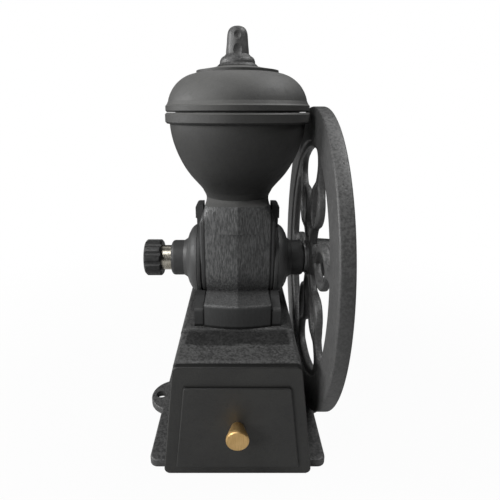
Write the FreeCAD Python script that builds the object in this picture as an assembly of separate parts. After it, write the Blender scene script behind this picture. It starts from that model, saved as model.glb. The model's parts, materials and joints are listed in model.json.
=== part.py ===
"""Hand crank coffee grinder with a cast flywheel.

One STEP file per piece is written to parts/.  Millimetres, +Z up.  The origin is
the centre of the base's underside, the crank axle runs along X, and the drawer
opens towards -Y.
"""
import FreeCAD
import Part

import math
import os

Vector = FreeCAD.Vector
X_AXIS = Vector(1, 0, 0)
Y_AXIS = Vector(0, 1, 0)
Z_AXIS = Vector(0, 0, 1)

# ---------------------------------------------------------------- driving sizes
# Axle, burr barrel and its stand
AXLE_FROM_BACK = 56.0         # axle in front of the base's back
AXLE_Z = 126.6                # axle above the table
BARREL_R = 28.6
BARREL_HALF = 28.6            # half length of the barrel along the axle
BARREL_DRAFT = 1.2            # the barrel swells this much at its parting line
FOOT_HALF_X = 25.3
FOOT_HALF_Y = 52.7            # at the middle of the bowed front
FOOT_BOW = 3.7                # how far the bowed front stands out
FOOT_HEIGHT = 18.1
FOOT_EDGE_R = 2.5
FOOT_COVE_R = 3.0             # hollow curve between the foot and the barrel
NECK_TOP_Z = 170.5
NECK_R = 26.4
SHOULDER_R = 6.5              # rounding of the barrel's upper ends
SHOULDER_EDGE_R = 1.8         # rounding of its upper front and back edges

# Base casting
BASE_WIDTH = 126.8
BASE_DEPTH = 149.0
FLANGE_T = 5.6
FLANGE_CORNER_R = 6.0
FLANGE_EDGE_R = 1.5
EAR_X = 54.6
EAR_Y = -1.5
EAR_R = 20.6
EAR_HOLE_X = 66.8
EAR_HOLE_R = 4.5
HOUSE_TOP_Z = 88.4
HOUSE_TOP_HALF = 42.0
HOUSE_FOOT_HALF = 51.5        # at the top of the flange
HOUSE_WALL = 5.0
HOUSE_EDGE_R = 3.5
SHELF_DROP = 2.0              # the front shelf lies below the pad under the stand
SHELF_DEPTH = 39.5
LEDGE_T = 3.0                 # ledges that the drawer slides on
LEDGE_WIDTH = 12.0
LEDGE_SET_BACK = 2.0          # behind the base's front
MERGE = 0.5                   # how far a part of a casting runs into the next
THROUGH = 1.0                 # how far a cutter runs past the face it cuts

# Drawer
DRAWER_GAP = 2.2              # between the shut drawer's front and the base
DRAWER_PLATE = 4.4
DRAWER_TOP_Z = 87.1
DRAWER_BOTTOM_Z = 0.4
DRAWER_CORNER_R = 4.0
PANEL_RAISE = 2.0
PANEL_BEVEL = 0.6
PANEL_CORNER_R = 1.5
PANEL_TOP_Z = 72.4
PANEL_BOTTOM_Z = 8.0
PANEL_INSET = 8.5             # from the front's sloping sides
BOX_SHEET = 1.6
BOX_CLEAR = 1.2               # between the tray and the bay's walls
BOX_TOP_Z = 70.0
BOX_BACK_CLEAR = 2.7          # behind the tray
DRAWER_TOP_HALF = 41.95
DRAWER_FOOT_HALF = 51.8
LEDGE_CLEAR = 0.3             # under the tray
RIVET_R = 1.6
RIVET_BITE = 2.2
RIVET_INSET = 20.0            # from the front's sloping sides
RIVET_LOW_Z = 14.0
RIVET_HIGH_DROP = 10.0        # below the tray's top
DRAWER_KNOB_Z = 42.0
DRAWER_KNOB_R = 7.5
DRAWER_KNOB_ROOT_R = 4.3
DRAWER_KNOB_LENGTH = 12.8
DRAWER_KNOB_BAND = 2.4        # straight band behind the knob's face
DRAWER_KNOB_EDGE = 0.6
DRAWER_SCREW_R = 2.0

# End covers
COVER_BAND = 2.6              # straight band outside the barrel's end
COVER_LINE = 0.9              # width of the groove beside the band
COVER_LINE_DEPTH = 0.7
COVER_LIP = 0.4               # the flange stands this far outside the barrel
COVER_GROOVE = 0.7            # bevel that shows as a line beside the barrel
COVER_DOME_MID_X = 35.8
COVER_DOME_MID_R = 26.6
COVER_STEP_X = 38.8           # small step part of the way down the dome
COVER_STEP_R = 22.0
COVER_STEP = 0.5
COVER_DOME_X = 41.0           # where the dome meets the nose
COVER_DOME_R = 16.6
NOSE_R = 14.6
NOSE_END_X = 54.3
NOSE_EDGE_R = 2.8
NOSE_COVE = 3.0               # length of the cone between the dome and the nose
LUG_OUT_X = 32.5
LUG_HALF_Y = 48.0
LUG_CLEAR = 0.25
LUG_CORNER_DROP = 3.4         # the lug's corner lies below the foot's top
LUG_SLOPE_Y = 32.0            # where the lug's top reaches the foot's height
COVER_EAR_HALF_Y = 9.0
COVER_EAR_SHIFT = 3.0         # the ears stand a little behind the axle
COVER_EAR_OUT_X = 33.4
COVER_EAR_IN_X = 27.3
COVER_EAR_TOP_Z = 172.9
COVER_EAR_R = 2.5
SPIGOT_LENGTH = 2.5
SPIGOT_CLEAR = 0.1
EAR_FOOT_Z = 162.0            # the ear is thicker above this height
COVER_BOLT_R = 2.5
COVER_BOLT_HEAD_R = 4.4
COVER_BOLT_HEAD = 3.4
STAND_BOLT_BITE = 9.5
STAND_BOLT_TIP = 0.5          # room past the bolt's tip
BOLT_CLEAR = 0.3
BOLT_ACROSS_FLATS = 7.6
STAND_BOLT_INSET = 7.5        # from the foot's sides
STAND_BOLT_SET_BACK = 8.0     # from the foot's bowed ends
COVER_SCREW_R = 2.0
COVER_SCREW_HEAD_R = 3.8
COVER_SCREW_HEAD = 2.2
LUG_SCREW_BITE = 4.3          # into the foot
LUG_BOLT_Y = 38.0
LUG_BOLT_Z = 96.5
EAR_BOLT_Z = 156.5
GRUB_R = 2.0
GRUB_LENGTH = 7.0
GRUB_Z = 166.5

# Inside the barrel
FEED_R = 15.0                 # bore that the feed screw turns in
CHAMBER_R = 23.0              # round the burrs
FEED_FROM_X = -8.0            # the burr chamber is on the -X side of this wall
FEED_TO_X = 24.0
CHUTE_HALF_Y = 14.0
CHUTE_FROM_X = -23.0
CHUTE_TO_X = -9.5
CHUTE_CLEAR = 1.0             # the base's hole is wider than the chute above it
THROAT_TOP_R = 19.0
THROAT_FROM_X = -5.0
BURR_R = 22.6
BURR_T = 6.0
BURR_GAP = 2.0                # between the burrs at the coarsest setting
BURR_TEETH = 20
TOOTH_DEPTH = 1.2
BURR_SCREW_R = 1.25
BURR_SCREW_HEAD_R = 2.3
BURR_SCREW_HEAD = 1.6
BURR_SCREW_SINK = 3.2
BURR_SCREW_BITE = 5.0
BURR_SCREW_CIRCLE = 19.0
MOVING_BURR_R = 22.0
MOVING_BURR_HOLLOW_R = 14.0
BURR_NUT_FLATS = 15.0
BURR_NUT_T = 3.6
DRIVE_PIN_R = 1.5
DRIVE_PIN_HALF = 11.0
SHAFT_R = 6.0
SHAFT_CLEAR = 0.05
SHAFT_LEFT_X = -41.0
SHAFT_RIGHT_X = 86.5
SHAFT_THREAD_R = 4.0
BUSH_R = 8.5
BUSH_T = 10.0
LEFT_BUSH_X = 40.0            # outer end of the left bush
RIGHT_BUSH_X = 32.0           # inner end of the right bush
RIGHT_BUSH_T = 20.0
AUGER_ROOT_R = 8.6
AUGER_R = 13.8
AUGER_FROM_X = -4.0
AUGER_PITCH = 16.0
AUGER_TURNS = 1.35
AUGER_BLADE = 3.2
BALL_R = 3.0
SPRING_R = 8.4
SPRING_WIRE_R = 0.7
SPRING_TURNS = 2.5
SPRING_WIRE_SIDES = 8
SPRING_LENGTH = 7.0
SPRING_CLEAR = 0.2            # left when the shaft is pushed right in

# Grind adjuster
SLEEVE_R = 10.3
SLEEVE_CLEAR = 0.06
SLEEVE_OUT_X = 62.3
SLEEVE_IN_X = 45.0
ADJUST_KNOB_R = 15.1
ADJUST_KNOB_T = 15.4
ADJUST_FLUTES = 12
ADJUST_FLUTE_R = 2.6
ADJUST_FLUTE_DEPTH = 1.2
ADJUST_TRAVEL = 1.5           # how far one turn of the knob pushes the shaft
ADJUST_SCREW_R = 2.5
ADJUST_SCREW_HEAD_R = 4.8
ADJUST_SCREW_HEAD = 2.6
ADJUST_SCREW_BITE = 9.0

# Flywheel
WHEEL_R = 120.4
RIM_FROM_X = 56.0
RIM_TO_X = 66.0
RIM_DEPTH = 25.5              # from the tread in to the rim's inner edge
RIM_BEVEL = 1.6
WEB_FROM_X = 58.4
WEB_TO_X = 64.6
WEB_RING = 4.6                # ring of web inside the rim, outside the windows
SPOKES = 6
SPOKE_ANGLE = 19.0            # first spoke, from +Z towards -Y
SPOKE_HALF = 4.1              # half width of a spoke's neck
LOOP_CENTRE_R = 50.0          # middle of the loop in each spoke
LOOP_R = 17.3
LOOP_SLOT_HALF = 10.6
LOOP_SLOT_LENGTH = 38.0
LOOP_COVE_R = 12.0
WINDOW_CORNER_R = 11.0
WINDOW_INNER_R = 8.0
SPOKE_STRAIGHT = 1.5          # least length of neck beyond a loop
KEYWAY_CLEAR = 0.2
HUB_R = 15.5
HUB_FROM_X = 56.4
HUB_TO_X = 77.8
WEB_BEVEL = 1.4
SLOT_BEVEL = 1.2
HUB_COLLAR_R = 12.5
HUB_COLLAR_GAP = 0.4
HUB_NUT_FLATS = 17.0
HUB_NUT_T = 6.0
HUB_WASHER_R = 10.5
HUB_WASHER_T = 1.6
KEY_SIZE = 4.0

# Crank handle
HANDLE_ANGLE = 249.0          # from +Z towards -Y
HANDLE_INSET = 15.4           # the handle's axis is inside the tread
HANDLE_BOSS_R = 11.0
HANDLE_BOSS_OUT = 2.4         # boss stands this far out of the rim
HANDLE_NUT_FLATS = 13.0
HANDLE_NUT_T = 4.0
NUT_SINK = 0.3                # the nut lies this far inside the rim's back
NUT_CLEAR = 1.0               # round the nut in its recess
PIN_R = 4.0
PIN_HEAD_R = 6.5
PIN_HEAD_T = 3.0
GRIP_CLEAR = 0.08
GRIP_GAP = 0.5
GRIP_LENGTH = 47.0
GRIP_ROOT_R = 9.0
GRIP_BELLY_R = 12.6
GRIP_END_R = 10.5

# Hopper
HOPPER_TOP_Z = 242.6
HOPPER_RIM_R = 54.2
HOPPER_RIM_EDGE = 1.2
HOPPER_RIM_H = 7.7
HOPPER_WALL = 3.8
BOWL_TOP_R = 51.0
BOWL_UPPER_SHARE = 0.62       # share of the height from the waist to the rim
BOWL_UPPER_R = 46.1
BOWL_LOWER_SHARE = 0.295
BOWL_LOWER_R = 35.5
BOWL_NECK_SHARE = 0.128
BOWL_NECK_R = 27.5
WAIST_RISE = 7.8              # waist above the neck's top
WAIST_R = 24.1
HOPPER_FOOT_R = 26.2
HOPPER_SPIGOT_R = 22.0
HOPPER_SPIGOT_H = 7.0
SPIGOT_BORE_R = 19.0

# Lid
LID_SEAT_GAP = 0.3
LID_R = 53.7
LID_EDGE = 1.0
LID_STEP = 2.2                # from the rim up to the foot of the dome
LID_BOSS = 1.5                # boss under the lid round its screw
LID_RIM_H = 5.3
LID_WALL = 3.2
LID_DOME_R = 51.6
LID_DOME_H = 18.8             # rise of the dome
LID_DOME_TOP_R = 33.1
LID_DOME_MID_R = 46.0
LID_DOME_MID_SHARE = 0.59     # of the dome's height
LID_CONE_MID_R = 20.2
LID_DISC_R = 30.2
LID_DISC_H = 2.3
LID_CONE_H = 3.2
LID_RING_CLEAR = 0.7
LID_RING_H = 5.0
LID_RING_T = 3.0
FINIAL_BASE_R = 13.6
FINIAL_BASE_H = 6.8
FINIAL_FLARE = 1.4            # small hollow curves at the knob's foot and waist
FINIAL_POST_R = 8.4
FINIAL_POST_H = 9.4
FINIAL_TIP_R = 7.7
FINIAL_TIP_H = 10.6
FINIAL_LOW_HOLLOW_R = 8.0
FINIAL_HIGH_HOLLOW_R = 5.0
FINIAL_HOLLOW_DEPTH = 1.1
FINIAL_SCREW_HEAD = 2.4
FINIAL_SCREW_R = 3.0

# ------------------------------------------------------------- worked-out places
BARREL_END_X = BARREL_HALF
BASE_FRONT_Y = -BASE_DEPTH / 2
BASE_BACK_Y = BASE_DEPTH / 2
AXLE_Y = BASE_BACK_Y - AXLE_FROM_BACK
DRAWER_BACK_Y = BASE_FRONT_Y - DRAWER_GAP
DRAWER_FRONT_Y = DRAWER_BACK_Y - DRAWER_PLATE
LID_Z = HOPPER_TOP_Z + LID_SEAT_GAP
FIXED_BURR_X = FEED_FROM_X - BURR_T
MOVING_BURR_X = FIXED_BURR_X - BURR_GAP - BURR_T
DRIVE_PIN_X = MOVING_BURR_X + 1.9
AUGER_TO_X = RIGHT_BUSH_X - SPRING_LENGTH - SPRING_CLEAR - ADJUST_TRAVEL
AUGER_PIN_X = AUGER_TO_X - 3.0
KEY_FROM_X = HUB_FROM_X + 3
KEY_TO_X = HUB_TO_X - 3
AXLE = Vector(0, AXLE_Y, AXLE_Z)
RIM_INNER_R = WHEEL_R - RIM_DEPTH
WEB_OUTER_R = RIM_INNER_R - WEB_RING
HANDLE_RADIUS = WHEEL_R - HANDLE_INSET
BOWL_TOP_Z = HOPPER_TOP_Z - HOPPER_RIM_H


# --------------------------------------------------------------------- helpers
def vec(x, y, z):
    """A point in the row frame."""
    return Vector(x, y, z)


def cyl_x(radius, x_from, x_to, y=AXLE_Y, z=AXLE_Z):
    """Cylinder along X, on the axle unless told otherwise."""
    return Part.makeCylinder(radius, x_to - x_from, vec(x_from, y, z), X_AXIS)


def cyl_y(radius, y_from, y_to, x, z):
    """Cylinder along Y."""
    return Part.makeCylinder(radius, y_to - y_from, vec(x, y_from, z), Y_AXIS)


def cyl_z(radius, z_from, z_to, x, y):
    """Cylinder along Z."""
    return Part.makeCylinder(radius, z_to - z_from, vec(x, y, z_from), Z_AXIS)


def block(x_from, x_to, y_from, y_to, z_from, z_to):
    """Box between two corners."""
    corner = vec(x_from, y_from, z_from)
    return Part.makeBox(x_to - x_from, y_to - y_from, z_to - z_from, corner)


def line(start, end):
    """Straight edge."""
    return Part.LineSegment(start, end).toShape()


def arc(start, middle, end):
    """Circular edge through three points."""
    return Part.Arc(start, middle, end).toShape()


def spline(points, first_tangent=None, last_tangent=None):
    """Smooth edge through a few points."""
    curve = Part.BSplineCurve()
    if first_tangent and last_tangent:
        curve.interpolate(Points=points, InitialTangent=first_tangent, FinalTangent=last_tangent)
    else:
        curve.interpolate(Points=points)
    return curve.toShape()


def polygon(points):
    """Closed wire through points."""
    return Part.makePolygon(list(points) + [points[0]])


def turned(edges, axis_point, axis):
    """Solid of revolution of a closed chain of edges."""
    face = Part.Face(Part.Wire(edges))
    solid = face.revolve(axis_point, axis, 360)
    return Part.makeSolid(solid) if solid.ShapeType != "Solid" else solid


def turned_z(profile, x=0.0, y=AXLE_Y):
    """Revolve (radius, z) corners about a vertical axis."""
    points = [vec(x + r, y, z) for r, z in profile]
    return turned(polygon(points).Edges, vec(x, y, 0), Z_AXIS)


def turned_x(profile):
    """Revolve (x, radius) corners about the axle."""
    points = [vec(x, AXLE_Y, AXLE_Z + r) for x, r in profile]
    return turned(polygon(points).Edges, AXLE, X_AXIS)


def hex_prism(flats, start, direction, length):
    """Hexagonal bar along an axis."""
    corner_r = flats / math.sqrt(3)
    normal = Vector(direction)
    side = Z_AXIS.cross(normal)
    if side.Length < 0.5:
        side = Vector(1, 0, 0)
    up = normal.cross(side)
    points = []
    for i in range(6):
        a = math.radians(60 * i)
        points.append(start + side * (corner_r * math.cos(a)) + up * (corner_r * math.sin(a)))
    return Part.Face(polygon(points)).extrude(normal * length)


def fused(shapes):
    """One solid from several that meet."""
    shapes = list(shapes)
    body = shapes[0]
    if len(shapes) > 1:
        body = body.fuse(shapes[1:])
    return body.removeSplitter()


def cut(body, tools):
    """Body less the tools."""
    return body.cut(list(tools))


def mirrored_x(shape):
    """The same piece on the other side of the X = 0 plane."""
    return shape.mirror(vec(0, 0, 0), X_AXIS)


def edges_where(shape, test):
    """Edges of a shape that pass a test."""
    return [e for e in shape.Edges if test(e)]


def group(shapes):
    """Separate solids kept in one node."""
    return Part.makeCompound(list(shapes))


# ------------------------------------------------------------------ base casting
def house_half(z):
    """Half width of the base's sloping housing at a height."""
    share = (HOUSE_TOP_Z - z) / (HOUSE_TOP_Z - FLANGE_T)
    return HOUSE_TOP_HALF + (HOUSE_FOOT_HALF - HOUSE_TOP_HALF) * share


def sloped_block(z_low, z_high, y_from, y_to, inset=0.0):
    """Block whose sides follow the housing's slope."""
    low = house_half(z_low) - inset
    high = house_half(z_high) - inset
    corners = [(-low, z_low), (low, z_low), (high, z_high), (-high, z_high)]
    wire = polygon([vec(x, y_from, z) for x, z in corners])
    return Part.Face(wire).extrude(vec(0, y_to - y_from, 0))


def flange_plate():
    """Floor flange with its two bolt ears."""
    half = BASE_WIDTH / 2
    plate = block(-half, half, BASE_FRONT_Y, BASE_BACK_Y, 0, FLANGE_T)
    corners = edges_where(plate, lambda e: abs(e.tangentAt(e.FirstParameter).z) > 0.9)
    plate = plate.makeFillet(FLANGE_CORNER_R, corners)
    ears = [cyl_z(EAR_R, 0, FLANGE_T, side * EAR_X, EAR_Y) for side in (-1, 1)]
    plate = fused([plate] + ears)
    rim = edges_where(plate, lambda e: e.BoundBox.ZMin > FLANGE_T - 0.01)
    return plate.makeFillet(FLANGE_EDGE_R, rim)


def rounded_block(z_low, z_high, y_from, y_to):
    """Sloping block with its top edges rounded."""
    solid = sloped_block(z_low, z_high, y_from, y_to)
    rim = edges_where(solid, lambda e: e.BoundBox.ZMin > z_high - 0.01)
    return solid.makeFillet(HOUSE_EDGE_R, rim)


def house_shell():
    """Sloping housing round the drawer, with its lower front shelf."""
    low = rounded_block(0, HOUSE_TOP_Z - SHELF_DROP, BASE_FRONT_Y, BASE_BACK_Y)
    pad = rounded_block(HOUSE_TOP_Z - SHELF_DROP - 2 * HOUSE_EDGE_R, HOUSE_TOP_Z,
                        BASE_FRONT_Y + SHELF_DEPTH, BASE_BACK_Y)
    return fused([low, pad])


def bay_cutter():
    """The drawer bay: open at the front and underneath."""
    back = BASE_BACK_Y - HOUSE_WALL
    return sloped_block(-THROUGH, bay_ceiling(), BASE_FRONT_Y - THROUGH, back, HOUSE_WALL)


def stand_bolt_places():
    """Where the stand's foot is bolted to the base."""
    out = FOOT_HALF_Y - FOOT_BOW - STAND_BOLT_SET_BACK
    across = FOOT_HALF_X - STAND_BOLT_INSET
    return [(sx * across, AXLE_Y + sy * out) for sx in (-1, 1) for sy in (-1, 1)]


def bay_ceiling():
    """Height of the drawer bay's ceiling."""
    return HOUSE_TOP_Z - SHELF_DROP - HOUSE_WALL


def base_casting():
    """Base: flange, housing, drawer ledges and the hole that the grounds fall through."""
    body = fused([flange_plate(), house_shell()])
    body = body.cut(bay_cutter())
    ledges = []
    for side in (-1, 1):
        wall = house_half(0) - HOUSE_WALL + MERGE
        span = sorted((side * (wall - LEDGE_WIDTH), side * wall))
        ledges.append(block(span[0], span[1], BASE_FRONT_Y + LEDGE_SET_BACK,
                            BASE_BACK_Y - HOUSE_WALL + MERGE, 0, LEDGE_T))
    body = fused([body] + ledges)
    low, high = bay_ceiling() - THROUGH, HOUSE_TOP_Z + THROUGH
    holes = [cyl_z(EAR_HOLE_R, -THROUGH, FLANGE_T + THROUGH, side * EAR_HOLE_X, EAR_Y)
             for side in (-1, 1)]
    for x, y in stand_bolt_places():
        holes.append(cyl_z(COVER_BOLT_R + BOLT_CLEAR, low, high, x, y))
    holes.append(block(CHUTE_FROM_X - CHUTE_CLEAR, CHUTE_TO_X + CHUTE_CLEAR,
                       AXLE_Y - CHUTE_HALF_Y - CHUTE_CLEAR, AXLE_Y + CHUTE_HALF_Y + CHUTE_CLEAR,
                       low, high))
    return cut(body, holes)


def stand_bolts():
    """Four bolts from inside the base up into the stand."""
    ceiling = bay_ceiling()
    solids = []
    for x, y in stand_bolt_places():
        stem = cyl_z(COVER_BOLT_R, ceiling, HOUSE_TOP_Z + STAND_BOLT_BITE - STAND_BOLT_TIP, x, y)
        head = hex_prism(BOLT_ACROSS_FLATS, vec(x, y, ceiling - COVER_BOLT_HEAD),
                         Z_AXIS, COVER_BOLT_HEAD)
        solids.append(fused([stem, head]))
    return group(solids)


# -------------------------------------------------------------------- the stand
def barrel_radius(x):
    """Barrel radius at a distance from its parting line."""
    return BARREL_R + BARREL_DRAFT * (1 - abs(x) / BARREL_HALF)


def barrel_wire(x):
    """U-shaped section of the barrel: round below the axle, upright above it."""
    radius = barrel_radius(x)
    left, right = AXLE_Y - radius, AXLE_Y + radius
    edges = [
        line(vec(x, right, NECK_TOP_Z), vec(x, left, NECK_TOP_Z)),
        line(vec(x, left, NECK_TOP_Z), vec(x, left, AXLE_Z)),
        arc(vec(x, left, AXLE_Z), vec(x, AXLE_Y, AXLE_Z - radius), vec(x, right, AXLE_Z)),
        line(vec(x, right, AXLE_Z), vec(x, right, NECK_TOP_Z)),
    ]
    return Part.Wire(edges)


def barrel_block():
    """Barrel with its upright upper part, rounded where the hopper stands on it."""
    body = drafted(barrel_wire, BARREL_HALF).removeSplitter()
    ends = edges_where(body, lambda e: (e.BoundBox.ZMin > NECK_TOP_Z - 0.01
                                        and e.BoundBox.XLength < 0.01))
    body = body.makeFillet(SHOULDER_R, ends)
    rims = edges_where(body, lambda e: (e.BoundBox.ZMin > NECK_TOP_Z - 0.01
                                        and e.BoundBox.XLength > SHOULDER_R))
    return body.makeFillet(SHOULDER_EDGE_R, rims)


def cove_wire(x):
    """Section of the hollow curves that join the barrel to its foot."""
    radius = barrel_radius(x)
    top = HOUSE_TOP_Z + FOOT_HEIGHT
    low = top - FOOT_HEIGHT / 2
    centre_z = top + FOOT_COVE_R
    drop = AXLE_Z - centre_z
    reach = math.sqrt((radius + FOOT_COVE_R) ** 2 - drop ** 2)
    share = radius / (radius + FOOT_COVE_R)

    def side(sign):
        centre = vec(x, AXLE_Y + sign * reach, centre_z)
        start = vec(x, AXLE_Y + sign * reach, top)
        end = vec(x, AXLE_Y + sign * reach * share, AXLE_Z - drop * share)
        halfway = (start - centre).normalize() + (end - centre).normalize()
        return start, centre + halfway.normalize() * FOOT_COVE_R, end

    front, back = side(-1), side(1)
    edges = [
        arc(*front),
        line(front[2], back[2]),
        arc(back[2], back[1], back[0]),
        line(back[0], vec(x, back[0].y, low)),
        line(vec(x, back[0].y, low), vec(x, front[0].y, low)),
        line(vec(x, front[0].y, low), front[0]),
    ]
    return Part.Wire(edges)


def drafted(wire_at, half_x):
    """Solid that tapers from the parting line to both ends."""
    halves = [Part.makeLoft([wire_at(0), wire_at(side * half_x)], True, True) for side in (-1, 1)]
    return halves[0].fuse(halves[1])


def foot_block(half_x, half_y, bow, z_from, z_to):
    """Block with bowed front and back faces."""
    front_y, back_y = AXLE_Y - half_y, AXLE_Y + half_y
    edges = [
        arc(vec(-half_x, front_y + bow, z_from), vec(0, front_y, z_from),
            vec(half_x, front_y + bow, z_from)),
        line(vec(half_x, front_y + bow, z_from), vec(half_x, back_y - bow, z_from)),
        arc(vec(half_x, back_y - bow, z_from), vec(0, back_y, z_from),
            vec(-half_x, back_y - bow, z_from)),
        line(vec(-half_x, back_y - bow, z_from), vec(-half_x, front_y + bow, z_from)),
    ]
    solid = Part.Face(Part.Wire(edges)).extrude(vec(0, 0, z_to - z_from))
    rims = edges_where(solid, lambda e: e.BoundBox.ZMin > z_to - 0.01 and e.BoundBox.XLength > 1)
    return solid.makeFillet(FOOT_EDGE_R, rims)


def throat():
    """Passage from the hopper down to the feed screw."""
    socket = cyl_z(HOPPER_SPIGOT_R + SPIGOT_CLEAR, NECK_TOP_Z - HOPPER_SPIGOT_H - 0.2,
                   NECK_TOP_Z + 1, 0, AXLE_Y)
    floor_r = FEED_R + 1
    cone = Part.makeCone(floor_r, THROAT_TOP_R, NECK_TOP_Z - HOPPER_SPIGOT_H - AXLE_Z + 1,
                         vec(0, AXLE_Y, AXLE_Z), Z_AXIS)
    keep = block(THROAT_FROM_X, FEED_TO_X, AXLE_Y - NECK_R, AXLE_Y + NECK_R, AXLE_Z, NECK_TOP_Z)
    return socket.fuse(cone.common(keep))


def bores():
    """Burr chamber, feed bore and the chute down to the drawer."""
    chamber = cyl_x(CHAMBER_R, -BARREL_END_X - 1, FEED_FROM_X)
    feed = cyl_x(FEED_R, FEED_FROM_X - 1, BARREL_END_X + 1)
    chute = block(CHUTE_FROM_X, CHUTE_TO_X, AXLE_Y - CHUTE_HALF_Y, AXLE_Y + CHUTE_HALF_Y,
                  HOUSE_TOP_Z - 1, AXLE_Z)
    return [chamber, feed, chute]


def ear_centre_y():
    """Middle of the covers' top ears."""
    return AXLE_Y + COVER_EAR_SHIFT


def cover_screw_places():
    """(y, z, tip x, head x) of the right cover's screws."""
    lugs = [(AXLE_Y + side * LUG_BOLT_Y, LUG_BOLT_Z, FOOT_HALF_X - LUG_SCREW_BITE, LUG_OUT_X)
            for side in (-1, 1)]
    return [(ear_centre_y(), EAR_BOLT_Z, BARREL_HALF - 6, LUG_OUT_X)] + lugs


def centre_housing():
    """Cast barrel on its foot, with the neck that takes the hopper."""
    barrel = barrel_block()
    coves = drafted(cove_wire, FOOT_HALF_X)
    foot = foot_block(FOOT_HALF_X, FOOT_HALF_Y, FOOT_BOW, HOUSE_TOP_Z, HOUSE_TOP_Z + FOOT_HEIGHT)
    body = barrel.fuse([coves, foot])
    tools = bores() + [throat()]
    half = COVER_EAR_HALF_Y + LUG_CLEAR
    for side in (-1, 1):
        pocket = block(COVER_EAR_IN_X - LUG_CLEAR, BARREL_HALF + 2, ear_centre_y() - half,
                       ear_centre_y() + half, EAR_FOOT_Z - LUG_CLEAR, NECK_TOP_Z + 1)
        tools.append(pocket if side > 0 else mirrored_x(pocket))
    for y, z, tip, head in cover_screw_places():
        hole = cyl_x(COVER_SCREW_R, tip, BARREL_HALF + 1, y, z)
        tools += [hole, mirrored_x(hole)]
    for x, y in stand_bolt_places():
        tools.append(cyl_z(COVER_BOLT_R, HOUSE_TOP_Z - 1, HOUSE_TOP_Z + STAND_BOLT_BITE, x, y))
    for y, z in burr_screw_places():
        tools.append(cyl_x(BURR_SCREW_R, FEED_FROM_X - 1, FEED_FROM_X + BURR_SCREW_BITE, y, z))
    tools.append(cyl_y(GRUB_R, AXLE_Y + HOPPER_SPIGOT_R, AXLE_Y + NECK_R + 5, 0, GRUB_Z))
    return cut(body, tools).removeSplitter()


def hopper_grub_screw():
    """Grub screw behind the neck that holds the hopper's spigot."""
    start = AXLE_Y + HOPPER_SPIGOT_R + SPIGOT_CLEAR
    screw = cyl_y(GRUB_R, start, start + GRUB_LENGTH, 0, GRUB_Z)
    slot = block(-0.5, 0.5, start + GRUB_LENGTH - 1, start + GRUB_LENGTH + 1,
                 GRUB_Z - GRUB_R, GRUB_Z + GRUB_R)
    return screw.cut(slot)


# -------------------------------------------------------------------- end covers
def cover_shell():
    """Turned part of the right cover: flange, dome and nose."""
    def at(x, r):
        return vec(x, AXLE_Y, AXLE_Z + r)

    band_end = BARREL_END_X + COVER_BAND
    dome_start = band_end + COVER_LINE
    nose_start = COVER_DOME_X + NOSE_COVE
    corner = NOSE_EDGE_R * (1 - math.sqrt(0.5))
    rim = BARREL_R + COVER_LIP
    edges = [
        line(at(BARREL_END_X, 0), at(BARREL_END_X, rim - COVER_GROOVE)),
        line(at(BARREL_END_X, rim - COVER_GROOVE), at(BARREL_END_X + COVER_GROOVE, rim)),
        line(at(BARREL_END_X + COVER_GROOVE, rim), at(band_end, rim)),
        line(at(band_end, rim), at(band_end + COVER_LINE / 2, rim - COVER_LINE_DEPTH)),
        line(at(band_end + COVER_LINE / 2, rim - COVER_LINE_DEPTH), at(dome_start, rim - COVER_LIP)),
        arc(at(dome_start, rim - COVER_LIP), at(COVER_DOME_MID_X, COVER_DOME_MID_R),
            at(COVER_STEP_X, COVER_STEP_R)),
        line(at(COVER_STEP_X, COVER_STEP_R), at(COVER_STEP_X + COVER_STEP, COVER_STEP_R - COVER_STEP)),
        line(at(COVER_STEP_X + COVER_STEP, COVER_STEP_R - COVER_STEP), at(COVER_DOME_X, COVER_DOME_R)),
        line(at(COVER_DOME_X, COVER_DOME_R), at(nose_start, NOSE_R)),
        line(at(nose_start, NOSE_R), at(NOSE_END_X - NOSE_EDGE_R, NOSE_R)),
        arc(at(NOSE_END_X - NOSE_EDGE_R, NOSE_R), at(NOSE_END_X - corner, NOSE_R - corner),
            at(NOSE_END_X, NOSE_R - NOSE_EDGE_R)),
        line(at(NOSE_END_X, NOSE_R - NOSE_EDGE_R), at(NOSE_END_X, 0)),
        line(at(NOSE_END_X, 0), at(BARREL_END_X, 0)),
    ]
    return turned(edges, AXLE, X_AXIS)


def cover_lug():
    """Lower plate beside the foot, arching up into the flange."""
    def at(y, z):
        return vec(FOOT_HALF_X + LUG_CLEAR, AXLE_Y + y, z)

    foot_top = HOUSE_TOP_Z + FOOT_HEIGHT
    corner_z = foot_top - LUG_CORNER_DROP
    low = HOUSE_TOP_Z
    tip, slope = LUG_HALF_Y, LUG_SLOPE_Y
    edges = [
        line(at(-tip, low), at(tip, low)),
        line(at(tip, low), at(tip, corner_z - 3)),
        arc(at(tip, corner_z - 3), at(tip - 0.9, corner_z - 0.9), at(tip - 3, corner_z)),
        line(at(tip - 3, corner_z), at(slope, foot_top)),
        line(at(slope, foot_top), at(BARREL_R * 0.7, AXLE_Z - BARREL_R * 0.7)),
        line(at(BARREL_R * 0.7, AXLE_Z - BARREL_R * 0.7),
             at(-BARREL_R * 0.7, AXLE_Z - BARREL_R * 0.7)),
        line(at(-BARREL_R * 0.7, AXLE_Z - BARREL_R * 0.7), at(-slope, foot_top)),
        line(at(-slope, foot_top), at(-tip + 3, corner_z)),
        arc(at(-tip + 3, corner_z), at(-tip + 0.9, corner_z - 0.9), at(-tip, corner_z - 3)),
        line(at(-tip, corner_z - 3), at(-tip, low)),
    ]
    plate = Part.Face(Part.Wire(edges)).extrude(vec(LUG_OUT_X - FOOT_HALF_X - LUG_CLEAR, 0, 0))
    room = cyl_x(BARREL_R + BARREL_DRAFT, FOOT_HALF_X - 1, BARREL_END_X)
    return plate.cut(room)


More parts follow.
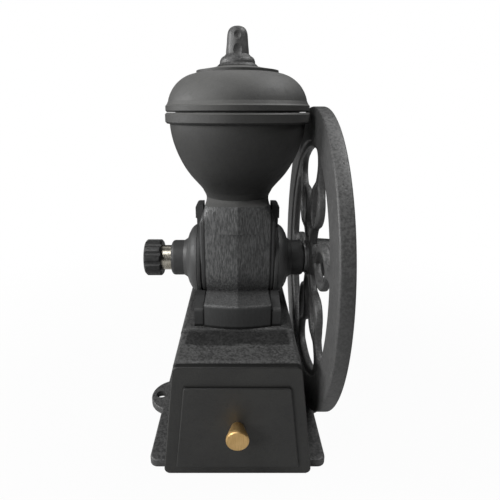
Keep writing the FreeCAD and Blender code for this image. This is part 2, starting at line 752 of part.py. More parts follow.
def cover_ear():
    """Tongue that stands up beside the neck."""
    y_from = ear_centre_y() - COVER_EAR_HALF_Y
    y_to = ear_centre_y() + COVER_EAR_HALF_Y
    tongue = block(BARREL_END_X, LUG_OUT_X, y_from, y_to, AXLE_Z + NOSE_R, COVER_EAR_TOP_Z)
    thick = block(COVER_EAR_IN_X, COVER_EAR_OUT_X, y_from, y_to, EAR_FOOT_Z, COVER_EAR_TOP_Z)
    rounded = edges_where(thick, lambda e: e.BoundBox.ZMin > COVER_EAR_TOP_Z - 0.01
                          and e.BoundBox.XMin > COVER_EAR_OUT_X - 0.01)
    thick = thick.makeFillet(COVER_EAR_R, rounded)
    slim = block(COVER_EAR_OUT_X - 3, COVER_EAR_OUT_X + 1, y_from - 1, y_to + 1,
                 COVER_EAR_TOP_Z - COVER_EAR_R - 1, COVER_EAR_TOP_Z + 1)
    return tongue.cut(slim).fuse(thick)


def end_cover():
    """Right-hand cover without its bores."""
    body = fused([cover_shell(), cover_lug(), cover_ear()])
    for y, z, tip, head in cover_screw_places():
        hole = cyl_x(COVER_SCREW_R + 0.2, FOOT_HALF_X - 1, head + 2, y, z)
        sink = Part.makeCone(COVER_SCREW_R, COVER_SCREW_HEAD_R, COVER_SCREW_HEAD,
                             vec(head - COVER_SCREW_HEAD, y, z), X_AXIS)
        mouth = cyl_x(COVER_SCREW_HEAD_R, head, head + 2, y, z)
        body = body.cut([hole, sink, mouth])
    return body


def right_end_cover():
    """Cover on the wheel's side, bored for its bush and the thrust spring."""
    spigot = cyl_x(FEED_R - SPIGOT_CLEAR, BARREL_END_X - SPIGOT_LENGTH, BARREL_END_X)
    body = end_cover().fuse(spigot)
    bush_seat = cyl_x(BUSH_R, RIGHT_BUSH_X, NOSE_END_X + 1)
    spring_room = cyl_x(SPRING_R + SPRING_WIRE_R + 0.6, BARREL_END_X - SPIGOT_LENGTH - 1,
                        RIGHT_BUSH_X)
    return cut(body, [bush_seat, spring_room])


def left_end_cover():
    """Cover on the adjuster's side, bored for its bush and the adjusting sleeve."""
    spigot = cyl_x(CHAMBER_R - SPIGOT_CLEAR, BARREL_END_X - SPIGOT_LENGTH, BARREL_END_X)
    body = end_cover().fuse(spigot)
    bush_seat = cyl_x(BUSH_R, BARREL_END_X - SPIGOT_LENGTH - 1, LEFT_BUSH_X)
    sleeve_bore = cyl_x(SLEEVE_R + SLEEVE_CLEAR, LEFT_BUSH_X, NOSE_END_X + 1)
    return mirrored_x(cut(body, [bush_seat, sleeve_bore]))


def cover_screws(side):
    """Countersunk screws of one cover: one in the ear and two in the lugs."""
    solids = []
    for y, z, tip, head in cover_screw_places():
        stem = cyl_x(COVER_SCREW_R, tip, head - COVER_SCREW_HEAD, y, z)
        top = Part.makeCone(COVER_SCREW_R, COVER_SCREW_HEAD_R, COVER_SCREW_HEAD,
                            vec(head - COVER_SCREW_HEAD, y, z), X_AXIS)
        slot = block(head - 0.9, head + 1, y - COVER_SCREW_HEAD_R, y + COVER_SCREW_HEAD_R,
                     z - 0.5, z + 0.5)
        screw = fused([stem, top]).cut(slot)
        solids.append(screw if side > 0 else mirrored_x(screw))
    return group(solids)


# ----------------------------------------------------------------- burrs and feed
def burr_screw_places():
    """Where the fixed burr is screwed down."""
    places = []
    for i in range(3):
        a = math.radians(90 + 120 * i)
        places.append((AXLE_Y + BURR_SCREW_CIRCLE * math.cos(a),
                       AXLE_Z + BURR_SCREW_CIRCLE * math.sin(a)))
    return places


def tooth_cutters(x_face, inner_r, outer_r):
    """V grooves that leave teeth on a burr face; the grooves sit either side of x_face."""
    cutters = []
    pitch = 2 * math.pi * outer_r / BURR_TEETH
    half = pitch * 0.42
    inner_half = half * inner_r / outer_r
    inner_depth = TOOTH_DEPTH * inner_r / outer_r
    for i in range(BURR_TEETH):
        near = polygon([vec(x_face - inner_depth, AXLE_Y + inner_r, AXLE_Z),
                        vec(x_face, AXLE_Y + inner_r, AXLE_Z + inner_half),
                        vec(x_face + inner_depth, AXLE_Y + inner_r, AXLE_Z),
                        vec(x_face, AXLE_Y + inner_r, AXLE_Z - inner_half)])
        far = polygon([vec(x_face - TOOTH_DEPTH, AXLE_Y + outer_r, AXLE_Z),
                       vec(x_face, AXLE_Y + outer_r, AXLE_Z + half),
                       vec(x_face + TOOTH_DEPTH, AXLE_Y + outer_r, AXLE_Z),
                       vec(x_face, AXLE_Y + outer_r, AXLE_Z - half)])
        wedge = Part.makeLoft([near, far], True, True)
        wedge.rotate(AXLE, X_AXIS, i * 360.0 / BURR_TEETH)
        cutters.append(wedge)
    return cutters


def fixed_burr():
    """Ring burr screwed to the wall of the chamber."""
    ring = cyl_x(BURR_R, FIXED_BURR_X, FEED_FROM_X).cut(
        cyl_x(FEED_R, FIXED_BURR_X - 1, FEED_FROM_X + 1))
    ring = ring.cut(tooth_cutters(FIXED_BURR_X, FEED_R - 1, BURR_R + 1))
    holes = [cyl_x(BURR_SCREW_R, FIXED_BURR_X - 2, FEED_FROM_X + 1, y, z)
             for y, z in burr_screw_places()]
    sinks = [cyl_x(BURR_SCREW_HEAD_R, FIXED_BURR_X - 2, FIXED_BURR_X + BURR_SCREW_SINK, y, z)
             for y, z in burr_screw_places()]
    return cut(ring, holes + sinks)


def burr_screws():
    """Three screws that hold the fixed burr, sunk below its teeth."""
    solids = []
    for y, z in burr_screw_places():
        stem = cyl_x(BURR_SCREW_R, FIXED_BURR_X + BURR_SCREW_SINK - BURR_SCREW_HEAD,
                     FEED_FROM_X + BURR_SCREW_BITE, y, z)
        head = cyl_x(BURR_SCREW_HEAD_R, FIXED_BURR_X + BURR_SCREW_SINK - BURR_SCREW_HEAD,
                     FIXED_BURR_X + BURR_SCREW_SINK, y, z)
        solids.append(fused([stem, head]))
    return group(solids)


def moving_burr():
    """Burr that turns with the shaft."""
    face = MOVING_BURR_X + BURR_T
    disc = turned_x([
        (MOVING_BURR_X, SHAFT_R), (MOVING_BURR_X, MOVING_BURR_R - 2),
        (MOVING_BURR_X + 2, MOVING_BURR_R), (face, MOVING_BURR_R),
        (face, MOVING_BURR_HOLLOW_R), (face - 2.5, MOVING_BURR_HOLLOW_R - 2),
        (face - 2.5, SHAFT_R),
    ])
    disc = disc.cut(tooth_cutters(face, MOVING_BURR_HOLLOW_R - 1, MOVING_BURR_R + 1))
    pin_way = cyl_z(DRIVE_PIN_R, AXLE_Z - DRIVE_PIN_HALF, AXLE_Z + DRIVE_PIN_HALF,
                    DRIVE_PIN_X, AXLE_Y)
    return disc.cut(pin_way)


def burr_drive_pin():
    """Cross pin that turns the burr with the shaft."""
    return cyl_z(DRIVE_PIN_R, AXLE_Z - DRIVE_PIN_HALF, AXLE_Z + DRIVE_PIN_HALF,
                 DRIVE_PIN_X, AXLE_Y)


def burr_nut():
    """Thin hexagon nut behind the moving burr."""
    nut = hex_prism(BURR_NUT_FLATS, vec(MOVING_BURR_X - BURR_NUT_T, AXLE_Y, AXLE_Z), X_AXIS,
                    BURR_NUT_T)
    return nut.cut(cyl_x(SHAFT_R, MOVING_BURR_X - BURR_NUT_T - 1, MOVING_BURR_X + 1))


def axle_helix(pitch, height, radius, start_x):
    """Helix about the axle that starts below it."""
    path = Part.makeHelix(pitch, height, radius)
    path.rotate(vec(0, 0, 0), Y_AXIS, 90)
    path.translate(vec(start_x, AXLE_Y, AXLE_Z))
    return path


def swept(section, path):
    """Solid swept by a section along a path."""
    shell = Part.BRepOffsetAPI.MakePipeShell(Part.Wire(path.Edges))
    shell.setFrenetMode(True)
    shell.add(section)
    shell.build()
    shell.makeSolid()
    return shell.shape()


def feed_auger():
    """Feed screw: a sleeve with one helical blade."""
    length = AUGER_PITCH * AUGER_TURNS
    start = AUGER_FROM_X + AUGER_BLADE / 2
    inner, outer = AUGER_ROOT_R - 1.0, AUGER_R
    half = AUGER_BLADE / 2
    section = polygon([vec(start - half, AXLE_Y, AXLE_Z - inner),
                       vec(start + half, AXLE_Y, AXLE_Z - inner),
                       vec(start + half * 0.6, AXLE_Y, AXLE_Z - outer),
                       vec(start - half * 0.6, AXLE_Y, AXLE_Z - outer)])
    blade = swept(section, axle_helix(AUGER_PITCH, length, AUGER_R, start))
    hub = cyl_x(AUGER_ROOT_R, AUGER_FROM_X, AUGER_TO_X)
    bore = cyl_x(SHAFT_R, AUGER_FROM_X - 1, AUGER_TO_X + 1)
    pin_way = cyl_z(DRIVE_PIN_R, AXLE_Z - AUGER_ROOT_R - 1, AXLE_Z + AUGER_ROOT_R + 1,
                    AUGER_PIN_X, AXLE_Y)
    return hub.fuse(blade).cut([bore, pin_way])


def auger_pin():
    """Cross pin through the feed screw's sleeve and the shaft."""
    return cyl_z(DRIVE_PIN_R, AXLE_Z - AUGER_ROOT_R + 0.4, AXLE_Z + AUGER_ROOT_R - 0.4,
                 AUGER_PIN_X, AXLE_Y)


def main_shaft():
    """Crank shaft with its pin holes, keyway and threaded end."""
    edge = 0.8
    shaft = turned_x([
        (SHAFT_LEFT_X, 0), (SHAFT_LEFT_X, SHAFT_R - edge), (SHAFT_LEFT_X + edge, SHAFT_R),
        (HUB_TO_X - 1.5, SHAFT_R), (HUB_TO_X - 1.5, SHAFT_THREAD_R),
        (SHAFT_RIGHT_X - edge, SHAFT_THREAD_R), (SHAFT_RIGHT_X, SHAFT_THREAD_R - edge),
        (SHAFT_RIGHT_X, 0),
    ])
    tools = [cyl_z(DRIVE_PIN_R, AXLE_Z - SHAFT_R - 1, AXLE_Z + SHAFT_R + 1, x, AXLE_Y)
             for x in (DRIVE_PIN_X, AUGER_PIN_X)]
    tools.append(key_block(KEY_FROM_X, KEY_TO_X, 0))
    return cut(shaft, tools)


def key_block(x_from, x_to, rise):
    """Square key lying half in the shaft and half in the hub."""
    half = KEY_SIZE / 2
    return block(x_from, x_to, AXLE_Y - half, AXLE_Y + half,
                 AXLE_Z + SHAFT_R - half, AXLE_Z + SHAFT_R + half + rise)


def bush(x_from, x_to):
    """Plain bearing bush."""
    ring = cyl_x(BUSH_R, x_from, x_to)
    return ring.cut(cyl_x(SHAFT_R + SHAFT_CLEAR, x_from - 1, x_to + 1))


def thrust_spring():
    """Coil spring that pushes the shaft back against the adjuster."""
    pitch = (SPRING_LENGTH - 2 * SPRING_WIRE_R) / SPRING_TURNS
    path = axle_helix(pitch, pitch * SPRING_TURNS, SPRING_R,
                      RIGHT_BUSH_X - SPRING_LENGTH + SPRING_WIRE_R)
    wire = path.Edges[0]
    start = wire.valueAt(wire.FirstParameter)
    along = wire.tangentAt(wire.FirstParameter)
    side = along.cross(X_AXIS).normalize()
    up = along.cross(side)
    corners = []
    for i in range(SPRING_WIRE_SIDES):
        a = 2 * math.pi * i / SPRING_WIRE_SIDES
        corners.append(start + (side * math.cos(a) + up * math.sin(a)) * SPRING_WIRE_R)
    return swept(polygon(corners), path)


def thrust_ball():
    """Ball between the shaft's end and the adjusting sleeve."""
    return Part.makeSphere(BALL_R, vec(SHAFT_LEFT_X - BALL_R, AXLE_Y, AXLE_Z))


def thrust_washer():
    """Washer between the right bush and the wheel's hub."""
    ring = cyl_x(HUB_COLLAR_R, NOSE_END_X + HUB_COLLAR_GAP, HUB_FROM_X)
    return ring.cut(cyl_x(SHAFT_R, NOSE_END_X - 1, HUB_FROM_X + 1))


# ----------------------------------------------------------------- grind adjuster
def adjuster_sleeve():
    """Sleeve that the knob pushes in and out of the left cover."""
    inner, outer = -SLEEVE_IN_X, -SLEEVE_OUT_X
    seat = SHAFT_LEFT_X - 2 * BALL_R
    sleeve = turned_x([
        (outer, 0), (outer, SLEEVE_R), (inner - 0.8, SLEEVE_R), (inner, SLEEVE_R - 0.8),
        (inner, BALL_R + 0.2), (seat, BALL_R + 0.2), (seat, 0),
    ])
    return sleeve.cut(cyl_x(ADJUST_SCREW_R, outer - 1, outer + ADJUST_SCREW_BITE))


def adjuster_knob():
    """Fluted knob with a domed face."""
    inner = -SLEEVE_OUT_X
    outer = inner - ADJUST_KNOB_T
    dome = 1.6
    body = turned_x([
        (inner, 0), (inner, ADJUST_KNOB_R - 1.2), (inner - 1.2, ADJUST_KNOB_R),
        (outer + dome + 1.4, ADJUST_KNOB_R), (outer + dome, ADJUST_KNOB_R - 1.4),
        (outer, ADJUST_KNOB_R * 0.45), (outer, 0),
    ])
    centre_r = ADJUST_KNOB_R + ADJUST_FLUTE_R - ADJUST_FLUTE_DEPTH
    tools = []
    for i in range(ADJUST_FLUTES):
        a = math.radians(360.0 * i / ADJUST_FLUTES)
        tools.append(cyl_x(ADJUST_FLUTE_R, outer - 1, inner + 1,
                           AXLE_Y + centre_r * math.cos(a), AXLE_Z + centre_r * math.sin(a)))
    tools.append(cyl_x(ADJUST_SCREW_R, outer - 1, inner + 1))
    tools.append(Part.makeCone(ADJUST_SCREW_HEAD_R, ADJUST_SCREW_R, ADJUST_SCREW_HEAD,
                               vec(outer, AXLE_Y, AXLE_Z), X_AXIS))
    return cut(body, tools)


def adjuster_screw():
    """Countersunk screw that fixes the knob to its sleeve."""
    outer = -SLEEVE_OUT_X - ADJUST_KNOB_T
    head = Part.makeCone(ADJUST_SCREW_HEAD_R, ADJUST_SCREW_R, ADJUST_SCREW_HEAD,
                         vec(outer, AXLE_Y, AXLE_Z), X_AXIS)
    stem = cyl_x(ADJUST_SCREW_R, outer + ADJUST_SCREW_HEAD,
                 -SLEEVE_OUT_X + ADJUST_SCREW_BITE - 0.5)
    slot = block(outer - 1, outer + 1, AXLE_Y - 0.5, AXLE_Y + 0.5,
                 AXLE_Z - ADJUST_SCREW_HEAD_R, AXLE_Z + ADJUST_SCREW_HEAD_R)
    return fused([head, stem]).cut(slot)


# ----------------------------------------------------------------------- flywheel
def on_wheel(angle, along, across, x=WEB_FROM_X):
    """Point beside a line from the hub, at an angle from +Z towards -Y."""
    a = math.radians(angle)
    return vec(x, AXLE_Y - along * math.sin(a) - across * math.cos(a),
               AXLE_Z + along * math.cos(a) - across * math.sin(a))


def between(centre, radius, first, last):
    """Point halfway along the short arc from first to last."""
    middle = (first - centre).normalize() + (last - centre).normalize()
    return centre + middle.normalize() * radius


def corner_fillet():
    """Rounding of a window's outer corners, less where the loops leave little room."""
    loop_end = LOOP_CENTRE_R + LOOP_R + SPOKE_STRAIGHT
    room = WEB_OUTER_R ** 2 - SPOKE_HALF ** 2 - loop_end ** 2
    return min(WINDOW_CORNER_R, room / (2 * (WEB_OUTER_R + SPOKE_HALF)))


def corner_reach():
    """How far out along its spoke a window's outer corner is centred."""
    radius = corner_fillet()
    return math.sqrt((WEB_OUTER_R - radius) ** 2 - (SPOKE_HALF + radius) ** 2)


def cove_fillet(inner_reach):
    """Rounding between a spoke's necks and its loop, less where the necks are short."""
    outside = corner_reach() - LOOP_CENTRE_R
    inside = LOOP_CENTRE_R - inner_reach
    room = min(outside, inside) ** 2 - LOOP_R ** 2 + SPOKE_HALF ** 2
    return min(LOOP_COVE_R, room / (2 * (LOOP_R - SPOKE_HALF)) * 0.98)


def spoke_flank(angle, sign):
    """Edges down one side of a spoke, from the hub out to the window's far corner."""
    pitch = math.pi / SPOKES
    inner_reach = (SPOKE_HALF + WINDOW_INNER_R) / math.tan(pitch)
    cove = cove_fillet(inner_reach)
    corner_r = corner_fillet()
    cove_v = SPOKE_HALF + cove
    cove_u = math.sqrt((LOOP_R + cove) ** 2 - cove_v ** 2)
    corner_v = SPOKE_HALF + corner_r
    corner_u = corner_reach()
    share = LOOP_R / (LOOP_R + cove)

    def at(u, v):
        return on_wheel(angle, u, sign * v)

    loop = at(LOOP_CENTRE_R, 0)
    near, far = at(LOOP_CENTRE_R - cove_u, cove_v), at(LOOP_CENTRE_R + cove_u, cove_v)
    near_in, far_out = at(LOOP_CENTRE_R - cove_u, SPOKE_HALF), at(LOOP_CENTRE_R + cove_u, SPOKE_HALF)
    touch_near = loop + (near - loop) * share
    touch_far = loop + (far - loop) * share
    corner = at(corner_u, corner_v)
    corner_in = at(corner_u, SPOKE_HALF)
    scale = WEB_OUTER_R / (WEB_OUTER_R - corner_r)
    corner_out = at(corner_u * scale, corner_v * scale)
    start = at(inner_reach, SPOKE_HALF)
    edges = [
        line(start, near_in),
        arc(near_in, between(near, cove, near_in, touch_near), touch_near),
        arc(touch_near, at(LOOP_CENTRE_R, LOOP_R), touch_far),
        arc(touch_far, between(far, cove, touch_far, far_out), far_out),
        line(far_out, corner_in),
        arc(corner_in, between(corner, corner_r, corner_in, corner_out), corner_out),
    ]
    return edges, start, corner_out


def window_cutter(angle):
    """Window between two spokes, from the first spoke's angle."""
    step = 360.0 / SPOKES
    first, start_a, end_a = spoke_flank(angle, 1)
    second, start_b, end_b = spoke_flank(angle + step, -1)
    middle = angle + step / 2
    reach = (SPOKE_HALF + WINDOW_INNER_R) / math.sin(math.pi / SPOKES)
    inner = arc(start_b, on_wheel(middle, reach - WINDOW_INNER_R, 0), start_a)
    outer = arc(end_a, on_wheel(middle, WEB_OUTER_R, 0), end_b)
    wire = Part.Wire(Part.__sortEdges__(first + [outer] + second + [inner]))
    solid = Part.Face(wire).extrude(vec(WEB_TO_X - WEB_FROM_X + 2 * THROUGH, 0, 0))
    solid.translate(vec(-THROUGH, 0, 0))
    return solid


def slot_wire(angle, x, grow):
    """Outline of a spoke's pointed oval slot."""
    half = LOOP_SLOT_LENGTH / 2 + 1.4 * grow
    inner = on_wheel(angle, LOOP_CENTRE_R - half, 0, x)
    outer = on_wheel(angle, LOOP_CENTRE_R + half, 0, x)
    return Part.Wire([
        arc(inner, on_wheel(angle, LOOP_CENTRE_R, LOOP_SLOT_HALF + grow, x), outer),
        arc(outer, on_wheel(angle, LOOP_CENTRE_R, -LOOP_SLOT_HALF - grow, x), inner),
    ])


def slot_cutter(angle):
    """Slot with bevelled mouths on both faces of the web."""
    through = Part.Face(slot_wire(angle, WEB_FROM_X - THROUGH, 0))
    through = through.extrude(vec(WEB_TO_X - WEB_FROM_X + 2 * THROUGH, 0, 0))
    mouths = []
    for face_x, inwards in ((WEB_FROM_X, 1), (WEB_TO_X, -1)):
        deep = slot_wire(angle, face_x + inwards * SLOT_BEVEL, 0)
        wide = slot_wire(angle, face_x - inwards * 0.1, SLOT_BEVEL + 0.1)
        mouths.append(Part.makeLoft([deep, wide], True, True))
    return through.fuse(mouths)


def handle_place(x):
    """Point on the handle's axis."""
    return on_wheel(HANDLE_ANGLE, HANDLE_RADIUS, 0, x)


def flywheel():
    """Cast wheel: rim, open web of looped spokes, hub and the handle's boss."""
    rim = turned_x([
        (RIM_FROM_X, RIM_INNER_R + RIM_BEVEL), (RIM_FROM_X, WHEEL_R - RIM_BEVEL),
        (RIM_FROM_X + RIM_BEVEL, WHEEL_R), (RIM_TO_X - RIM_BEVEL, WHEEL_R),
        (RIM_TO_X, WHEEL_R - RIM_BEVEL), (RIM_TO_X, RIM_INNER_R + RIM_BEVEL),
        (RIM_TO_X - RIM_BEVEL / 2, RIM_INNER_R), (RIM_FROM_X + RIM_BEVEL, RIM_INNER_R),
    ])
    web = cyl_x(RIM_INNER_R + 3, WEB_FROM_X, WEB_TO_X)
    angles = [SPOKE_ANGLE + k * 360.0 / SPOKES for k in range(SPOKES)]
    windows = [window_cutter(angle) for angle in angles]
    slots = [slot_cutter(angle) for angle in angles]
    web = web.cut(windows)
    members = edges_where(web, lambda e: (e.BoundBox.XLength < 0.01
                                          and wheel_reach(e) < WEB_OUTER_R + 0.5))
    web = web.makeChamfer(WEB_BEVEL, members).cut(slots)
    hub = turned_x([
        (HUB_FROM_X, 0), (HUB_FROM_X, HUB_R - 2), (HUB_FROM_X + 1, HUB_R - 1),
        (WEB_FROM_X, HUB_R - 1), (WEB_TO_X, HUB_R + 1), (HUB_TO_X - 2, HUB_R),
        (HUB_TO_X, HUB_R - 2), (HUB_TO_X, 0),
    ])
    boss_at = handle_place(RIM_TO_X - 1)
    boss = Part.makeCone(HANDLE_BOSS_R + 0.8, HANDLE_BOSS_R - 0.4, HANDLE_BOSS_OUT + 1,
                         boss_at, X_AXIS)
    body = rim.fuse([web, hub, boss])
    pin_hole = Part.makeCylinder(PIN_R, handle_start() - RIM_FROM_X + 2 * THROUGH,
                                 handle_place(RIM_FROM_X - THROUGH), X_AXIS)
    bore = cyl_x(SHAFT_R, HUB_FROM_X - THROUGH, HUB_TO_X + THROUGH)
    keyway = key_block(HUB_FROM_X - THROUGH, KEY_TO_X, KEYWAY_CLEAR)
    nut_room = Part.makeCylinder(HANDLE_NUT_FLATS / math.sqrt(3) + NUT_CLEAR,
                                 THROUGH + NUT_SINK + HANDLE_NUT_T,
                                 handle_place(RIM_FROM_X - THROUGH), X_AXIS)
    return cut(body, [bore, keyway, pin_hole, nut_room]).removeSplitter()


def wheel_reach(edge):
    """Furthest that an edge lies from the axle."""
    far = 0.0
    for v in edge.Vertexes:
        far = max(far, math.hypot(v.Point.y - AXLE_Y, v.Point.z - AXLE_Z))
    return far


def wheel_key():
    """Square key of the hub."""
    return key_block(KEY_FROM_X, KEY_TO_X, 0)


def hub_washer():
    """Washer under the hub nut."""
    ring = cyl_x(HUB_WASHER_R, HUB_TO_X, HUB_TO_X + HUB_WASHER_T)
    return ring.cut(cyl_x(SHAFT_THREAD_R, HUB_TO_X - 1, HUB_TO_X + HUB_WASHER_T + 1))


def hub_nut():
    """Nut on the shaft's threaded end."""
    start = HUB_TO_X + HUB_WASHER_T
    nut = hex_prism(HUB_NUT_FLATS, vec(start, AXLE_Y, AXLE_Z), X_AXIS, HUB_NUT_T)
    cone = turned_x([
        (start, 0), (start, HUB_NUT_FLATS * 0.6), (start + HUB_NUT_T - 1, HUB_NUT_FLATS * 0.56),
        (start + HUB_NUT_T, HUB_NUT_FLATS * 0.5), (start + HUB_NUT_T, 0),
    ])
    return nut.common(cone).cut(cyl_x(SHAFT_THREAD_R, start - 1, start + HUB_NUT_T + 1))


# ------------------------------------------------------------------- crank handle
def handle_start():
    """X of the boss's face, where the handle's parts begin."""
    return RIM_TO_X + HANDLE_BOSS_OUT


def handle_bolt():
    """Shoulder bolt that the grip turns on, headed at its outer end."""
    head_x = handle_start() + GRIP_GAP + GRIP_LENGTH + GRIP_GAP
    tail_x = RIM_FROM_X + NUT_SINK
    stem = Part.makeCylinder(PIN_R, head_x - tail_x, handle_place(tail_x), X_AXIS)
    head = Part.makeCone(PIN_HEAD_R, PIN_HEAD_R - 2, PIN_HEAD_T, handle_place(head_x), X_AXIS)
    slot = block(head_x + PIN_HEAD_T - 1, head_x + PIN_HEAD_T + 1,
                 handle_place(0).y - PIN_HEAD_R, handle_place(0).y + PIN_HEAD_R,
                 handle_place(0).z - 0.7, handle_place(0).z + 0.7)
    return fused([stem, head]).cut(slot)


def handle_nut():
    """Nut sunk into the rim's back."""
    start = handle_place(RIM_FROM_X + NUT_SINK)
    nut = hex_prism(HANDLE_NUT_FLATS, start, X_AXIS, HANDLE_NUT_T)
    return nut.cut(Part.makeCylinder(PIN_R, HANDLE_NUT_T + 2, start - X_AXIS, X_AXIS))


def handle_grip():
    """Turned grip that spins on its bolt."""
    x0 = handle_start() + GRIP_GAP
    x1 = x0 + GRIP_LENGTH
    place = handle_place(0)

    def at(x, r):
        return vec(x, place.y, place.z + r)

    middle = x0 + GRIP_LENGTH * 0.62
    bore = PIN_R + GRIP_CLEAR
    edge = 1.5
    swell = Part.BSplineCurve()
    swell.interpolate([at(x0 + edge, GRIP_ROOT_R), at(x0 + GRIP_LENGTH * 0.28, GRIP_ROOT_R + 1.6),
                       at(middle, GRIP_BELLY_R), at(x1 - edge, GRIP_END_R)])
    edges = [
        line(at(x0, bore), at(x0, GRIP_ROOT_R - edge)),
        line(at(x0, GRIP_ROOT_R - edge), at(x0 + edge, GRIP_ROOT_R)),
        swell.toShape(),
        line(at(x1 - edge, GRIP_END_R), at(x1, GRIP_END_R - edge)),
        line(at(x1, GRIP_END_R - edge), at(x1, bore)),
        line(at(x1, bore), at(x0, bore)),
    ]
    return turned(edges, place, X_AXIS)


# ------------------------------------------------------------------------- hopper
def hopper_curve():
    """Outside of the bowl from under the rim down to the foot."""
    waist_z = NECK_TOP_Z + WAIST_RISE
    height = BOWL_TOP_Z - waist_z
    points = [(BOWL_TOP_R, BOWL_TOP_Z), (BOWL_UPPER_R, waist_z + height * BOWL_UPPER_SHARE),
              (BOWL_LOWER_R, waist_z + height * BOWL_LOWER_SHARE),
              (BOWL_NECK_R, waist_z + height * BOWL_NECK_SHARE), (WAIST_R, waist_z),
              (HOPPER_FOOT_R, NECK_TOP_Z)]
    curve = Part.BSplineCurve()
    curve.interpolate([vec(r, AXLE_Y, z) for r, z in points])
    return curve


def inward(curve, distance, steps, last):
    """Smooth curve a wall's thickness inside another, as far as a parameter of it."""
    first = curve.FirstParameter
    points = []
    for i in range(steps + 1):
        share = first + (last - first) * i / steps
        tangent = curve.tangent(share)[0]
        normal = tangent.cross(Y_AXIS).normalize()
        if normal.x > 0:
            normal = normal * -1
        points.append(curve.value(share) + normal * distance)
    inner = Part.BSplineCurve()
    inner.interpolate(points)
    return inner


def hopper():
    """Turned hopper bowl with its rim and the spigot that sits in the neck."""
    outer = hopper_curve()
    top_out = outer.value(outer.FirstParameter)
    foot_out = outer.value(outer.LastParameter)

    def at(r, z):
        return vec(r, AXLE_Y, z)

    waist = outer.parameter(at(WAIST_R, NECK_TOP_Z + WAIST_RISE))
    inner = inward(outer, HOPPER_WALL, 8, waist)
    top_in = inner.value(inner.FirstParameter)
    foot_in = inner.value(inner.LastParameter)
    bottom = NECK_TOP_Z - HOPPER_SPIGOT_H
    edge = HOPPER_RIM_EDGE
    rim_low = BOWL_TOP_Z
    corners = [
        foot_out, at(HOPPER_SPIGOT_R, NECK_TOP_Z), at(HOPPER_SPIGOT_R, bottom),
        at(SPIGOT_BORE_R, bottom), foot_in,
    ]
    rim = [
        top_in, at(top_in.x, HOPPER_TOP_Z), at(HOPPER_RIM_R - edge, HOPPER_TOP_Z),
        at(HOPPER_RIM_R, HOPPER_TOP_Z - edge), at(HOPPER_RIM_R, rim_low + edge),
        at(HOPPER_RIM_R - edge, rim_low), top_out,
    ]
    edges = [outer.toShape()]
    edges += [line(a, b) for a, b in zip(corners, corners[1:])]
    edges.append(inner.toShape())
    edges += [line(a, b) for a, b in zip(rim, rim[1:])]
    wire = Part.Wire(Part.__sortEdges__(edges))
    return Part.Face(wire).revolve(vec(0, AXLE_Y, 0), Z_AXIS, 360)


# ---------------------------------------------------------------------------- lid
def lid():
    """Domed lid with a ring inside that locates it in the hopper."""
    def at(r, z):
        return vec(r, AXLE_Y, LID_Z + z)

    edge = LID_EDGE
    dome_low = LID_RIM_H + LID_STEP
    disc_z = dome_low + LID_DOME_H
    dome_mid = dome_low + LID_DOME_H * LID_DOME_MID_SHARE
    under = lid_top() - LID_WALL - LID_BOSS
    wall = LID_WALL
    outer = [
        line(at(LID_R, edge), at(LID_R, LID_RIM_H - edge)),
        line(at(LID_R, LID_RIM_H - edge), at(LID_R - edge, LID_RIM_H)),
        line(at(LID_R - edge, LID_RIM_H), at(LID_DOME_R, dome_low)),
        arc(at(LID_DOME_R, dome_low), at(LID_DOME_MID_R, dome_mid),
            at(LID_DOME_TOP_R, disc_z)),
        line(at(LID_DOME_TOP_R, disc_z), at(LID_DISC_R, disc_z + 0.6)),
        line(at(LID_DISC_R, disc_z + 0.6), at(LID_DISC_R, disc_z + LID_DISC_H)),
        line(at(LID_DISC_R, disc_z + LID_DISC_H), at(LID_CONE_MID_R, disc_z + LID_DISC_H + 1.7)),
        line(at(LID_CONE_MID_R, disc_z + LID_DISC_H + 1.7), at(FINIAL_BASE_R, lid_top())),
        line(at(FINIAL_BASE_R, lid_top()), at(FINIAL_SCREW_R, lid_top())),
    ]
    ring_out = BOWL_TOP_R - HOPPER_WALL - LID_RING_CLEAR
    ring_in = ring_out - LID_RING_T
    boss_r = 2 * FINIAL_SCREW_R + 1
    inner = [
        line(at(FINIAL_SCREW_R, lid_top()), at(FINIAL_SCREW_R, under)),
        line(at(FINIAL_SCREW_R, under), at(boss_r, under)),
        line(at(boss_r, under), at(LID_DISC_R - wall, disc_z - wall)),
        arc(at(LID_DISC_R - wall, disc_z - wall), at(LID_DOME_MID_R - wall - 0.8, dome_mid - wall),
            at(ring_in, LID_RIM_H)),
        line(at(ring_in, LID_RIM_H), at(ring_in, -LID_RING_H)),
        line(at(ring_in, -LID_RING_H), at(ring_out, -LID_RING_H)),
        line(at(ring_out, -LID_RING_H), at(ring_out, 0)),
        line(at(ring_out, 0), at(LID_R - edge, 0)),
        line(at(LID_R - edge, 0), at(LID_R, edge)),
    ]
    return turned(outer + inner, vec(0, AXLE_Y, 0), Z_AXIS)


def lid_top():
    """Height of the lid's top face above its seat."""
    return LID_RIM_H + LID_STEP + LID_DOME_H + LID_DISC_H + LID_CONE_H


def finial_dimple(radius, depth, height, surface_r):
    """Shallow round hollow in the knob's front."""
    centre = vec(0, AXLE_Y - surface_r - radius + depth, LID_Z + lid_top() + height)
    return Part.makeSphere(radius, centre)


